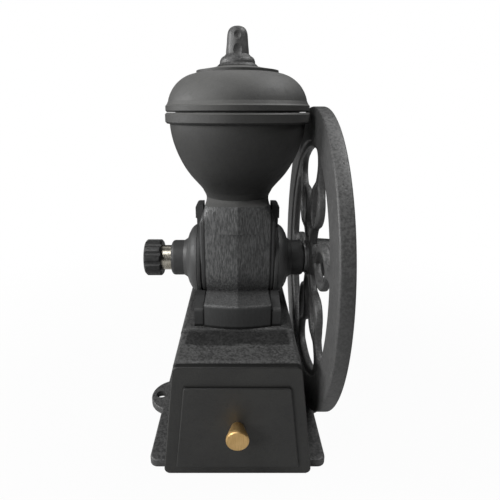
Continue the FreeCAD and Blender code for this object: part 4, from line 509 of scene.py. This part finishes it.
# The facing, joint, side and hub-and-shelf amounts below paint light and shade into the castings'
# colour.
FINISHES = (
    CastIron("cast_iron", Coarseness.FINE, (0.040, 0.040, 0.040), (0.110, 0.110, 0.109),
             fleck=0.8, dust=-0.3, oil=0.65, sprinkle=0.7),
    CastIron("cast_iron_rough", Coarseness.ROUGH, (0.054, 0.055, 0.055), (0.124, 0.125, 0.125),
             (0.50, 0.66), upright=0.22, fleck=0.85, dust=-0.35, joints=0.85, halves=0.6,
             calm=0.85, oil=0.6),
    CastIron("hopper_black", Coarseness.SMOOTH, (0.042, 0.042, 0.041), (0.052, 0.052, 0.050),
             (0.58, 0.68), 0.25, dust=0.9),
    CastIron("drawer_black", Coarseness.SMOOTH, (0.029, 0.029, 0.028), (0.036, 0.036, 0.034),
             (0.50, 0.60), 0.2, dust=-0.8),
    CastIron("knob_black", Coarseness.FINE, (0.012, 0.012, 0.012), (0.030, 0.030, 0.030),
             (0.46, 0.60), 0.3, 0.5, fleck=0.8),
    CastIron("grip_black", Coarseness.SMOOTH, (0.014, 0.014, 0.014), (0.022, 0.021, 0.020),
             (0.25, 0.36), 0.0, 0.5),
    CastIron("steel_black", Coarseness.SMOOTH, (0.030, 0.030, 0.031), (0.042, 0.042, 0.043),
             (0.36, 0.46), 0.1, 0.5),
    CastIron("tray_sheet", Coarseness.SMOOTH, (0.034, 0.034, 0.035), (0.044, 0.044, 0.045),
             (0.40, 0.52), 0.1),
    TurnedMetal("brass", (0.66, 0.42, 0.17), (0.80, 0.56, 0.26), (0.42, 0.54)),
    TurnedMetal("nickel", (0.42, 0.39, 0.32), (0.60, 0.57, 0.50), (0.22, 0.36)),
    TurnedMetal("steel", (0.18, 0.18, 0.18), (0.28, 0.28, 0.28), (0.40, 0.54)),
    TurnedMetal("burr_steel", (0.30, 0.31, 0.32), (0.42, 0.43, 0.44), (0.34, 0.48)),
    TurnedMetal("bronze", (0.30, 0.17, 0.07), (0.42, 0.26, 0.12), (0.40, 0.55)),
)


class Finisher:
    """Builds every finish once and lays it on pieces."""

    def __init__(self) -> None:
        """Build the shared groups and all the materials."""
        skin, weather = CastSkin().build_group(), Weather().build_group()
        lines = TurningLines().build_group()
        self.materials: dict[str, bpy.types.Material] = {}
        for finish in FINISHES:
            shared = (skin, weather) if isinstance(finish, CastIron) else (lines,)
            self.materials[finish.name] = finish.build(*shared)

    def dress(self, piece: bpy.types.Object, slot: str) -> None:
        """Give a piece one finish all over."""
        piece.data.materials.clear()
        piece.data.materials.append(self.materials[slot])

    def dress_frame(self) -> None:
        """Give every node of the frame the finish of its slot."""
        slots = {item["node"]: item["material_slot"] for item in frame["record"]["subparts"]}
        for name, node in frame["nodes"].items():
            material = self.materials[slots[name]]
            if not node.material_slots:
                node.data.materials.append(material)
            for holder in node.material_slots:
                holder.material = material
            log.info("dressed %s in %s", name, slots[name])


# ------------------------------------------------------------------- mesh helpers
def order_by_place(elements: bmesh.types.BMVertSeq | bmesh.types.BMFaceSeq,
                   place: Callable[[bmesh.types.BMVert | bmesh.types.BMFace], Vector]) -> None:
    """Put a form's points or faces in an order that is the same in every run.

    Args:
        elements: the form's points or its faces.
        place: gives the point that an element is ordered by.
    """
    for rank, element in enumerate(sorted(elements, key=lambda item: tuple(place(item)))):
        element.index = rank
    elements.sort()


def finished_piece(name: str, form: bmesh.types.BMesh, body: str,
                   *stands_for: str) -> bpy.types.Object:
    """Turn a bmesh into a piece that rides on a body.

    Args:
        name: the piece's name.
        form: the finished bmesh; it is freed.
        body: the body that the piece moves with.
        stands_for: nodes of the frame that the piece replaces.

    Returns:
        The piece.
    """
    bmesh.ops.remove_doubles(form, verts=form.verts, dist=WELD)
    bmesh.ops.recalc_face_normals(form, faces=form.faces)
    order_by_place(form.verts, lambda vert: vert.co)
    order_by_place(form.faces, lambda face: face.calc_center_median())
    mesh = bpy.data.meshes.new(name)
    form.to_mesh(mesh)
    form.free()
    mesh.shade_smooth()
    mesh.set_sharp_from_angle(angle=SHARP_EDGE)
    piece = bpy.data.objects.new(name, mesh)
    bpy.context.collection.objects.link(piece)
    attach(piece, body)
    if stands_for:
        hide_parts(*stands_for)
    log.info("built %s with %d faces", name, len(mesh.polygons))
    return piece


def place_key(place: Vector) -> tuple[int, ...]:
    """Whole numbers that stand for a place, in hundredths of a millimetre."""
    return tuple(round(value / MM * 100.0) for value in place)


def keep_normals(mesh: bpy.types.Mesh, node: bpy.types.Object) -> None:
    """Give the corners of a merged copy the normals that its node has at the same places.

    Args:
        mesh: the copy's mesh; corners that were moved keep their own normals.
        node: the node that the copy was made from.
    """
    same_side = 0.8  # least cosine between a face and a known normal on its side
    known: dict[tuple[int, ...], list[Vector]] = {}
    for loop, normal in zip(node.data.loops, node.data.corner_normals):
        known.setdefault(place_key(node.data.vertices[loop.vertex_index].co), []).append(
            normal.vector.copy())
    kept = [normal.vector.copy() for normal in mesh.corner_normals]
    for face in mesh.polygons:
        for i in face.loop_indices:
            here = mesh.vertices[mesh.loops[i].vertex_index].co
            nearest = max(known.get(place_key(here), [face.normal]), key=face.normal.dot)
            if nearest.dot(face.normal) > same_side:
                kept[i] = nearest
    mesh.normals_split_custom_set(kept)


def spin_outline(form: bmesh.types.BMesh, outline: Outline, centre: Vector, steps: int,
                 closed: bool = False) -> None:
    """Spin an outline of (along, radius) points, in millimetres, about the axle's line.

    Args:
        form: the bmesh that takes the faces.
        outline: points along the line and out from it.
        centre: a point on that line, in metres.
        steps: faces round a full turn.
        closed: joins the last point to the first, for a ring.
    """
    points = [centre + (AXLE_WAY * along + UP * radius) * MM for along, radius in outline]
    verts = [form.verts.new(point) for point in points]
    edges = [form.edges.new(pair) for pair in zip(verts, verts[1:])]
    if closed:
        edges.append(form.edges.new((verts[-1], verts[0])))
    bmesh.ops.spin(form, geom=verts + edges, cent=centre, axis=AXLE_WAY, dvec=(0.0, 0.0, 0.0),
                   angle=math.tau, steps=steps, use_merge=True, use_duplicate=False)


def rounded(outline: Outline, radii: dict[int, float], steps: int = 4) -> Outline:
    """Round some corners of an outline.

    Args:
        outline: the corner points.
        radii: the rounding of each corner that has one, by its place in the outline.
        steps: points round each corner, less one.

    Returns:
        The outline with its corners rounded.
    """
    result = []
    for i, corner in enumerate(outline):
        if i not in radii:
            result.append(corner)
            continue
        here = Vector(corner)
        back = (Vector(outline[i - 1]) - here).normalized()
        ahead = (Vector(outline[(i + 1) % len(outline)]) - here).normalized()
        half = back.angle(ahead) / 2
        start = here + back * radii[i] / math.tan(half)
        end = here + ahead * radii[i] / math.tan(half)
        middle = here + (back + ahead).normalized() * radii[i] / math.sin(half)
        result += arc_between(middle, start, end, steps)
    return result


def arc_between(centre: Vector, start: Vector, end: Vector, steps: int) -> Outline:
    """Points along the shorter arc from start to end about a centre."""
    first, last = start - centre, end - centre
    turn = math.atan2(first.x * last.y - first.y * last.x, first.dot(last))
    points = []
    for i in range(steps + 1):
        share = i / steps
        reach = first.length + (last.length - first.length) * share
        spoke = first.normalized() * reach
        spoke.rotate(Matrix.Rotation(turn * share, 2))
        points.append(tuple(centre + spoke))
    return points


def circle_points(radius: float, steps: int) -> Outline:
    """Points round a full circle about the origin."""
    return [(radius * math.cos(math.tau * i / steps), radius * math.sin(math.tau * i / steps))
            for i in range(steps)]


# ----------------------------------------------------------------------- flywheel
@dataclass
class Flywheel:
    """Cast wheel with an open web of looped spokes; sizes in millimetres."""

    rim_outer: float = 120.4
    rim_inner: float = 94.9
    rim_from: float = 56.0
    rim_to: float = 66.0
    rim_outer_round: float = 1.5
    rim_inner_round: float = 1.6
    web_from: float = 58.4
    web_to: float = 64.6
    web_round: float = 2.0
    web_overlap: float = 2.5
    window_outer: float = 90.3
    spokes: int = 6
    first_spoke: float = 19.0
    neck_half: float = 4.1
    loop_centre: float = 50.0
    loop_radius: float = 17.3
    slot_half: float = 10.6
    slot_length: float = 38.0
    cove: float = 12.0
    corner: float = 11.0
    inner_corner: float = 8.0
    hub_from: float = 56.4
    hub_to: float = 77.8
    hub_radius: float = 15.5
    hub_ring: float = 2.5
    hub_step: float = 1.0
    hub_draft: float = 0.8
    hub_round: float = 1.6
    shaft_radius: float = 6.0
    handle_angle: float = 249.0
    handle_radius: float = 105.0
    boss_radius: float = 11.0
    boss_rise: float = 2.4
    boss_sink: float = 1.0
    boss_draft: float = 0.8
    boss_top_draft: float = 0.4
    cove_steps: int = 6
    loop_steps: int = 16
    corner_steps: int = 10
    window_steps: int = 12
    slot_steps: int = 18
    web_steps: int = 96
    rim_steps: int = 160
    hub_steps: int = 72
    boss_steps: int = 48

    def spoke_point(self, angle: float, along: float, across: float) -> Vector:
        """Point beside a spoke's middle line, in the wheel's plane."""
        a = math.radians(angle)
        return Vector((along * math.cos(a) - across * math.sin(a),
                       along * math.sin(a) + across * math.cos(a)))

    def flank(self, angle: float, side: int) -> Outline:
        """One side of a spoke, from the hub out to the window's far corner.

        Args:
            angle: the spoke's angle in degrees.
            side: 1 or -1.

        Returns:
            The outline's points.
        """
        def at(along: float, across: float) -> Vector:
            """Point on this side of the spoke."""
            return self.spoke_point(angle, along, side * across)

        cove_across = self.neck_half + self.cove
        cove_along = math.sqrt((self.loop_radius + self.cove) ** 2 - cove_across ** 2)
        corner_across = self.neck_half + self.corner
        corner_along = math.sqrt((self.window_outer - self.corner) ** 2 - corner_across ** 2)
        loop = at(self.loop_centre, 0.0)
        near = at(self.loop_centre - cove_along, cove_across)
        far = at(self.loop_centre + cove_along, cove_across)
        share = self.loop_radius / (self.loop_radius + self.cove)
        touch_near, touch_far = loop.lerp(near, share), loop.lerp(far, share)
        corner = at(corner_along, corner_across)
        outwards = corner * (self.window_outer / corner.length)
        hub_end = (self.neck_half + self.inner_corner) / math.tan(math.pi / self.spokes)
        neck_near = at(self.loop_centre - cove_along, self.neck_half)
        neck_far = at(self.loop_centre + cove_along, self.neck_half)
        neck_end = at(corner_along, self.neck_half)
        points = [tuple(at(hub_end, self.neck_half))]
        points += arc_between(near, neck_near, touch_near, self.cove_steps)
        points += arc_between(loop, touch_near, touch_far, self.loop_steps)[1:]
        points += arc_between(far, touch_far, neck_far, self.cove_steps)[1:]
        points += arc_between(corner, neck_end, outwards, self.corner_steps)
        return points

    def window(self, angle: float) -> Outline:
        """Outline of the window after the spoke at an angle."""
        pitch = 360.0 / self.spokes
        first, second = self.flank(angle, 1), self.flank(angle + pitch, -1)
        outer = arc_between(Vector((0.0, 0.0)), Vector(first[-1]), Vector(second[-1]),
                            self.window_steps)
        reach = (self.neck_half + self.inner_corner) / math.sin(math.pi / self.spokes)
        middle = self.spoke_point(angle + pitch / 2, reach, 0.0)
        inner = arc_between(middle, Vector(second[0]), Vector(first[0]), self.window_steps)
        return first + outer[1:-1] + second[::-1] + inner[1:-1]

    def slot(self, angle: float) -> Outline:
        """Outline of the pointed oval slot in a spoke's loop."""
        half = self.slot_length / 2
        bulge = (half ** 2 - self.slot_half ** 2) / (2 * self.slot_half)
        ends = [self.spoke_point(angle, self.loop_centre + shift, 0.0) for shift in (-half, half)]
        points = []
        for side, (start, end) in ((1, ends), (-1, ends[::-1])):
            centre = self.spoke_point(angle, self.loop_centre, -side * bulge)
            points += arc_between(centre, start, end, self.slot_steps)[:-1]
        return points

    def add_web(self, form: bmesh.types.BMesh) -> None:
        """Fill the web between its openings as a flat curve with rounded edges."""
        circle = circle_points(self.rim_inner + self.web_overlap, self.web_steps)
        angles = [self.first_spoke + 360.0 * k / self.spokes for k in range(self.spokes)]
        outlines = [circle] + [self.window(a) for a in angles] + [self.slot(a) for a in angles]
        curve = bpy.data.curves.new("web", "CURVE")
        curve.dimensions = "2D"
        curve.fill_mode = "BOTH"
        curve.extrude = ((self.web_to - self.web_from) / 2 - self.web_round) * MM
        curve.bevel_depth = self.web_round * MM
        curve.bevel_resolution = 3
        curve.offset = -self.web_round * MM
        for outline in outlines:
            spline = curve.splines.new("POLY")
            spline.points.add(len(outline) - 1)
            for point, (x, y) in zip(spline.points, outline):
                point.co = (x * MM, y * MM, 0.0, 1.0)
            spline.use_cyclic_u = True
        holder = bpy.data.objects.new("web", curve)
        bpy.context.collection.objects.link(holder)
        bpy.context.view_layer.update()
        mesh = bpy.data.meshes.new_from_object(holder.evaluated_get(
            bpy.context.evaluated_depsgraph_get()))
        bpy.data.objects.remove(holder)
        middle = Vector(((self.web_from + self.web_to) / 2 * MM, AXLE_Y, AXLE_Z))
        turn = Matrix(((0, 0, 1), (0, -1, 0), (1, 0, 0))).to_4x4()
        mesh.transform(Matrix.Translation(middle) @ turn)
        form.from_mesh(mesh)
        bpy.data.meshes.remove(mesh)

    def add_rim(self, form: bmesh.types.BMesh) -> None:
        """Spin the rim, with its edges softly rounded."""
        outline = [(self.rim_from, self.rim_inner), (self.rim_from, self.rim_outer),
                   (self.rim_to, self.rim_outer), (self.rim_to, self.rim_inner)]
        soft = rounded(outline, {0: self.rim_inner_round, 1: self.rim_outer_round,
                                 2: self.rim_outer_round, 3: self.rim_inner_round})
        spin_outline(form, soft, AXLE, self.rim_steps, closed=True)

    def add_hub(self, form: bmesh.types.BMesh) -> None:
        """Spin the hub, bored for the shaft."""
        radius, bore, step = self.hub_radius, self.shaft_radius, self.hub_step
        outline = [(self.hub_from, bore), (self.hub_from, radius - step),
                   (self.web_from, radius - step), (self.web_from + step, radius + self.hub_ring),
                   (self.web_to - step, radius + self.hub_ring),
                   (self.web_to, radius + self.hub_draft),
                   (self.hub_to, radius), (self.hub_to, bore)]
        soft = rounded(outline, {1: step, 3: self.hub_draft, 4: self.hub_draft,
                                 6: self.hub_round})
        spin_outline(form, soft, AXLE, self.hub_steps, closed=True)

    def add_boss(self, form: bmesh.types.BMesh) -> None:
        """Spin the boss that the handle's bolt goes through."""
        place = self.spoke_point(self.handle_angle, self.handle_radius, 0.0)
        centre = Vector((0.0, AXLE_Y - place.y * MM, AXLE_Z + place.x * MM))
        low, top = self.rim_to - self.boss_sink, self.rim_to + self.boss_rise
        outline = [(low, 0.0), (low, self.boss_radius + self.boss_draft),
                   (top, self.boss_radius - self.boss_top_draft), (top, 0.0)]
        spin_outline(form, rounded(outline, {2: self.boss_draft}), centre, self.boss_steps)

    def build(self) -> bpy.types.Object:
        """Build the whole wheel as one casting.

        Returns:
            The piece, riding with the shaft.
        """
        form = bmesh.new()
        self.add_web(form)
        self.add_rim(form)
        self.add_hub(form)
        self.add_boss(form)
        return finished_piece("cast_flywheel", form, "wheel", "flywheel")


# ------------------------------------------------------------------------- barrel
@dataclass(frozen=True)
class Ring:
    """Level section of the neck: height, half width, half depth and squareness.

    A squareness of 2 is a round section, and the more it is, the squarer the section.
    """

    height: float
    half_width: float
    half_depth: float
    square: float

    @property
    def is_round(self) -> bool:
        """Whether the section is a circle or an ellipse."""
        return self.square == 2.0

    def shape(self, way: Vector, crown: float) -> Vector:
        """Point of the section in a direction.

        Args:
            way: level direction out from the middle.
            crown: how far the front and back stand out along their middle line.

        Returns:
            The point in millimetres, from the neck's middle line.
        """
        across, along = abs(way.x) / self.half_width, abs(way.y) / self.half_depth
        reach = (across ** self.square + along ** self.square) ** (-1.0 / self.square)
        x, y = way.x * reach, way.y * reach
        swell = crown * (1.0 - abs(x) / self.half_width) * (abs(y) / self.half_depth) ** 4
        return Vector((x, y + math.copysign(swell, y), self.height))


@dataclass
class Barrel:
    """Barrel with its foot, and the neck that carries the hopper; millimetres."""

    radius: float = 28.6
    crown: float = 1.2
    foot_top: float = 106.5
    cove_top: float = 112.3
    cove_round: float = 3.0
    cove_half: float = 25.4
    cove_near: float = 18.0
    cove_far: float = 28.4
    cove_slack: float = 0.3
    shoulder_from: float = 164.3
    shoulder_share: float = 0.93
    steps: int = 192
    neck: tuple[Ring, ...] = (
        Ring(155.0, 24.0, 24.0, 2.0), Ring(155.0, 28.50, 28.52, 35.0),
        Ring(163.0, 28.66, 28.70, 35.0), Ring(165.0, 28.15, 28.74, 26.0),
        Ring(167.0, 27.50, 28.68, 20.0), Ring(169.0, 26.85, 28.58, 15.0),
        Ring(171.0, 26.20, 28.40, 12.0), Ring(173.2, 25.50, 28.00, 10.0),
        Ring(174.8, 25.00, 27.55, 8.0), Ring(175.7, 24.70, 27.00, 7.0),
        Ring(175.7, 23.20, 23.20, 2.0))
    collar: tuple[Ring, ...] = (
        Ring(175.4, 23.20, 23.20, 2.0), Ring(175.4, 24.60, 26.90, 7.0),
        Ring(176.2, 24.60, 26.40, 5.0), Ring(177.0, 24.50, 25.50, 3.5),
        Ring(178.2, 24.45, 24.80, 2.6), Ring(179.6, 24.78, 24.86, 2.0),
        Ring(181.0, 25.22, 25.22, 2.0), Ring(182.8, 26.08, 26.08, 2.0),
        Ring(184.6, 27.06, 27.06, 2.0), Ring(184.6, 24.80, 24.80, 2.0))

    def flatten_cove(self, form: bmesh.types.BMesh) -> None:
        """Lay the cove at the barrel's foot onto the foot's top and the barrel.

        The turn about the cove's middle goes from 0 at the foot's top to 1 at the barrel.
        Its first half is laid along the foot's top and its second half up the barrel.

        Args:
            form: the merged copy of the node.
        """
        middle_far, middle_up = self.cove_far - self.cove_slack, self.foot_top + self.cove_round
        for vert in form.verts:
            x, y, z = (vert.co / MM) - Vector((0.0, AXLE_Y / MM, 0.0))
            reach = self.radius + self.crown * (1.0 - abs(x) / self.radius)
            level = AXLE_Z / MM - self.foot_top
            off = math.hypot(y, AXLE_Z / MM - z) - reach
            in_cove = (abs(x) <= self.cove_half and self.foot_top < z < self.cove_top
                       and self.cove_near < abs(y) < self.cove_far)
            if not in_cove or off <= 0.0:
                continue
            turn = math.atan2(middle_far - abs(y), max(middle_up - z, 0.0)) / (math.pi / 2)
            corner = math.sqrt(reach ** 2 - level ** 2)
            if turn < 0.5:
                near, up = middle_far + (corner - middle_far) * turn * 2.0, self.foot_top
            else:
                up = self.foot_top + (turn - 0.5) * 2.0 * self.cove_round
                up = max(up, z) if z > middle_up else up
                near = math.sqrt(reach ** 2 - (AXLE_Z / MM - up) ** 2)
            vert.co.y = AXLE_Y + math.copysign(near, y) * MM
            vert.co.z = up * MM

    def tuck_shoulders(self, form: bmesh.types.BMesh) -> None:
        """Draw the block's rounded top in, so that the neck hides it."""
        for vert in form.verts:
            if vert.co.z > self.shoulder_from * MM:
                vert.co.x *= self.shoulder_share
                vert.co.y = AXLE_Y + (vert.co.y - AXLE_Y) * self.shoulder_share

    def build_casting(self) -> bpy.types.Object:
        """Build the barrel and foot from a merged copy of its node.

        Returns:
            The piece, fixed on the base.
        """
        node = frame["nodes"]["centre_housing"]
        form = bmesh.new()
        form.from_mesh(node.data)
        form.transform(node.matrix_world)
        bmesh.ops.remove_doubles(form, verts=form.verts, dist=WELD)
        self.flatten_cove(form)
        self.tuck_shoulders(form)
        bmesh.ops.dissolve_degenerate(form, edges=form.edges, dist=WELD)
        piece = finished_piece("barrel_casting", form, "root", "centre_housing")
        keep_normals(piece.data, node)
        return piece

    def build_rings(self, name: str, rings: tuple[Ring, ...]) -> bpy.types.Object:
        """Join rings one to the next and the last to the first.

        Args:
            name: the piece's name.
            rings: the sections in order round the wall.

        Returns:
            The piece, fixed on the base.
        """
        form = bmesh.new()
        loops = []
        for ring in rings:
            verts = bmesh.ops.create_circle(form, segments=self.steps, radius=1.0)["verts"]
            crown = 0.0 if ring.is_round else self.crown
            for vert in verts:
                vert.co = ring.shape(vert.co.copy(), crown) * MM + Vector((0.0, AXLE_Y, 0.0))
            loops.append([edge for edge in form.edges if edge.verts[0] in verts])
        for first, second in zip(loops, loops[1:] + loops[:1]):
            bmesh.ops.bridge_loops(form, edges=first + second)
        return finished_piece(name, form, "root")


# -------------------------------------------------------------------------- studio
@dataclass(frozen=True)
class Lamp:
    """One soft round lamp: where it hangs, its width and its output in watts."""

    name: str
    place: tuple[float, float, float]
    size: float
    power: float


LAMPS = (
    Lamp("low_front_left", (-0.764, -0.764, 0.543), 0.5, 6.0),
    Lamp("low_left", (-1.081, 0.0, 0.543), 0.5, 11.0),
    Lamp("high_right", (0.660, 0.0, 1.092), 0.6, 8.5),
    Lamp("high_front_left", (-0.466, -0.466, 1.092), 0.6, 4.5),
    Lamp("high_left", (-0.660, 0.0, 1.092), 0.6, 1.0),
    Lamp("high_back_right", (0.466, 0.466, 1.092), 0.6, 1.5),
    Lamp("high_back", (0.0, 0.660, 1.092), 0.6, 0.8),
)


@dataclass
class Studio:
    """Floor, lamps, background and camera."""

    eye: Vector = Vector((0.0, -309.1 * MM, 243.0 * MM))
    middle: Vector = Vector((0.0, 0.0, 150.0 * MM))
    look_down: float = 17.62
    lens: float = 29.75
    nearest: float = 0.01
    shift_x: float = 0.025
    shift_y: float = -0.0136
    ambient: float = 0.02
    floor_radius: float = 0.6
    floor_tone: float = 0.4
    floor_roughness: float = 0.9
    floor_steps: int = 96
    shadow_reach: float = 0.16
    shadow_gone: float = 0.54
    floor_whiten: float = 0.96

    def background(self) -> None:
        """White to the camera, a soft grey light for everything else."""
        world = bpy.data.worlds.new("studio")
        bpy.context.scene.world = world
        world.use_nodes = True
        tree = world.node_tree
        shade = tree.nodes["Background"]
        shade.inputs["Color"].default_value = WHITE
        seen = tree.nodes.new("ShaderNodeLightPath").outputs["Is Camera Ray"]
        lift = add_math(tree, "MULTIPLY", seen, 1.0 - self.ambient)
        tree.links.new(add_math(tree, "ADD", lift, self.ambient), shade.inputs["Strength"])

    def floor(self) -> None:
        """Round pale floor that keeps the mill's shadow and fades to white."""
        form = bmesh.new()
        bmesh.ops.create_circle(form, cap_ends=True, segments=self.floor_steps,
                                radius=self.floor_radius)
        mesh = bpy.data.meshes.new("floor")
        form.to_mesh(mesh)
        form.free()
        plane = bpy.data.objects.new("floor", mesh)
        bpy.context.collection.objects.link(plane)
        material, shader = principled("floor_white")
        shader.inputs["Base Color"].default_value = (self.floor_tone,) * 3 + (1.0,)
        shader.inputs["Roughness"].default_value = self.floor_roughness
        tree = material.node_tree
        white = tree.nodes.new("ShaderNodeEmission")
        mix = tree.nodes.new("ShaderNodeMixShader")
        place = tree.nodes.new("ShaderNodeTexCoord")
        reach = tree.nodes.new("ShaderNodeVectorMath")
        reach.operation = "LENGTH"
        tree.links.new(place.outputs["Object"], reach.inputs[0])
        fade = tree.nodes.new("ShaderNodeMapRange")
        fade.interpolation_type = "SMOOTHSTEP"
        fade.inputs["From Min"].default_value = self.shadow_reach
        fade.inputs["From Max"].default_value = self.shadow_gone
        fade.inputs["To Min"].default_value = self.floor_whiten
        tree.links.new(reach.outputs["Value"], fade.inputs["Value"])
        seen = tree.nodes.new("ShaderNodeLightPath").outputs["Is Camera Ray"]
        tree.links.new(add_math(tree, "MULTIPLY", seen, fade.outputs["Result"]), mix.inputs["Fac"])
        tree.links.new(shader.outputs["BSDF"], mix.inputs[1])
        tree.links.new(white.outputs["Emission"], mix.inputs[2])
        tree.links.new(mix.outputs["Shader"], tree.nodes["Material Output"].inputs["Surface"])
        mesh.materials.append(material)

    def hang(self, lamp: Lamp) -> None:
        """Hang one lamp so that it faces the middle of the mill.

        Args:
            lamp: the lamp's place, size and output.
        """
        light = bpy.data.lights.new(lamp.name, "AREA")
        light.shape = "DISK"
        light.size = lamp.size
        light.energy = lamp.power
        holder = bpy.data.objects.new(lamp.name, light)
        holder.location = lamp.place
        way = self.middle - Vector(lamp.place)
        holder.rotation_euler = way.to_track_quat("-Z", "Y").to_euler()
        bpy.context.collection.objects.link(holder)

    def camera(self) -> None:
        """Set the camera a little above the mill, looking slightly down."""
        data = bpy.data.cameras.new("camera")
        data.lens = self.lens
        data.shift_x = self.shift_x
        data.shift_y = self.shift_y
        data.clip_start = self.nearest
        holder = bpy.data.objects.new("camera", data)
        holder.location = self.eye
        holder.rotation_euler = (math.radians(90.0 - self.look_down), 0.0, 0.0)
        bpy.context.collection.objects.link(holder)
        bpy.context.scene.camera = holder

    def build(self) -> None:
        """Set everything up."""
        self.background()
        self.floor()
        for lamp in LAMPS:
            self.hang(lamp)
        self.camera()
        bpy.context.scene.view_settings.view_transform = "Standard"


def main() -> None:
    """Dress the mill and set the studio."""
    logging.basicConfig(level=logging.INFO)
    finisher = Finisher()
    finisher.dress_frame()
    barrel = Barrel()
    pieces = ((Flywheel().build(), "cast_iron"),
              (barrel.build_casting(), "cast_iron_rough"),
              (barrel.build_rings("neck_casting", barrel.neck), "cast_iron_rough"),
              (barrel.build_rings("hopper_collar", barrel.collar), "hopper_black"))
    for piece, slot in pieces:
        finisher.dress(piece, slot)
    Studio().build()


if __name__ == "__main__":
    main()
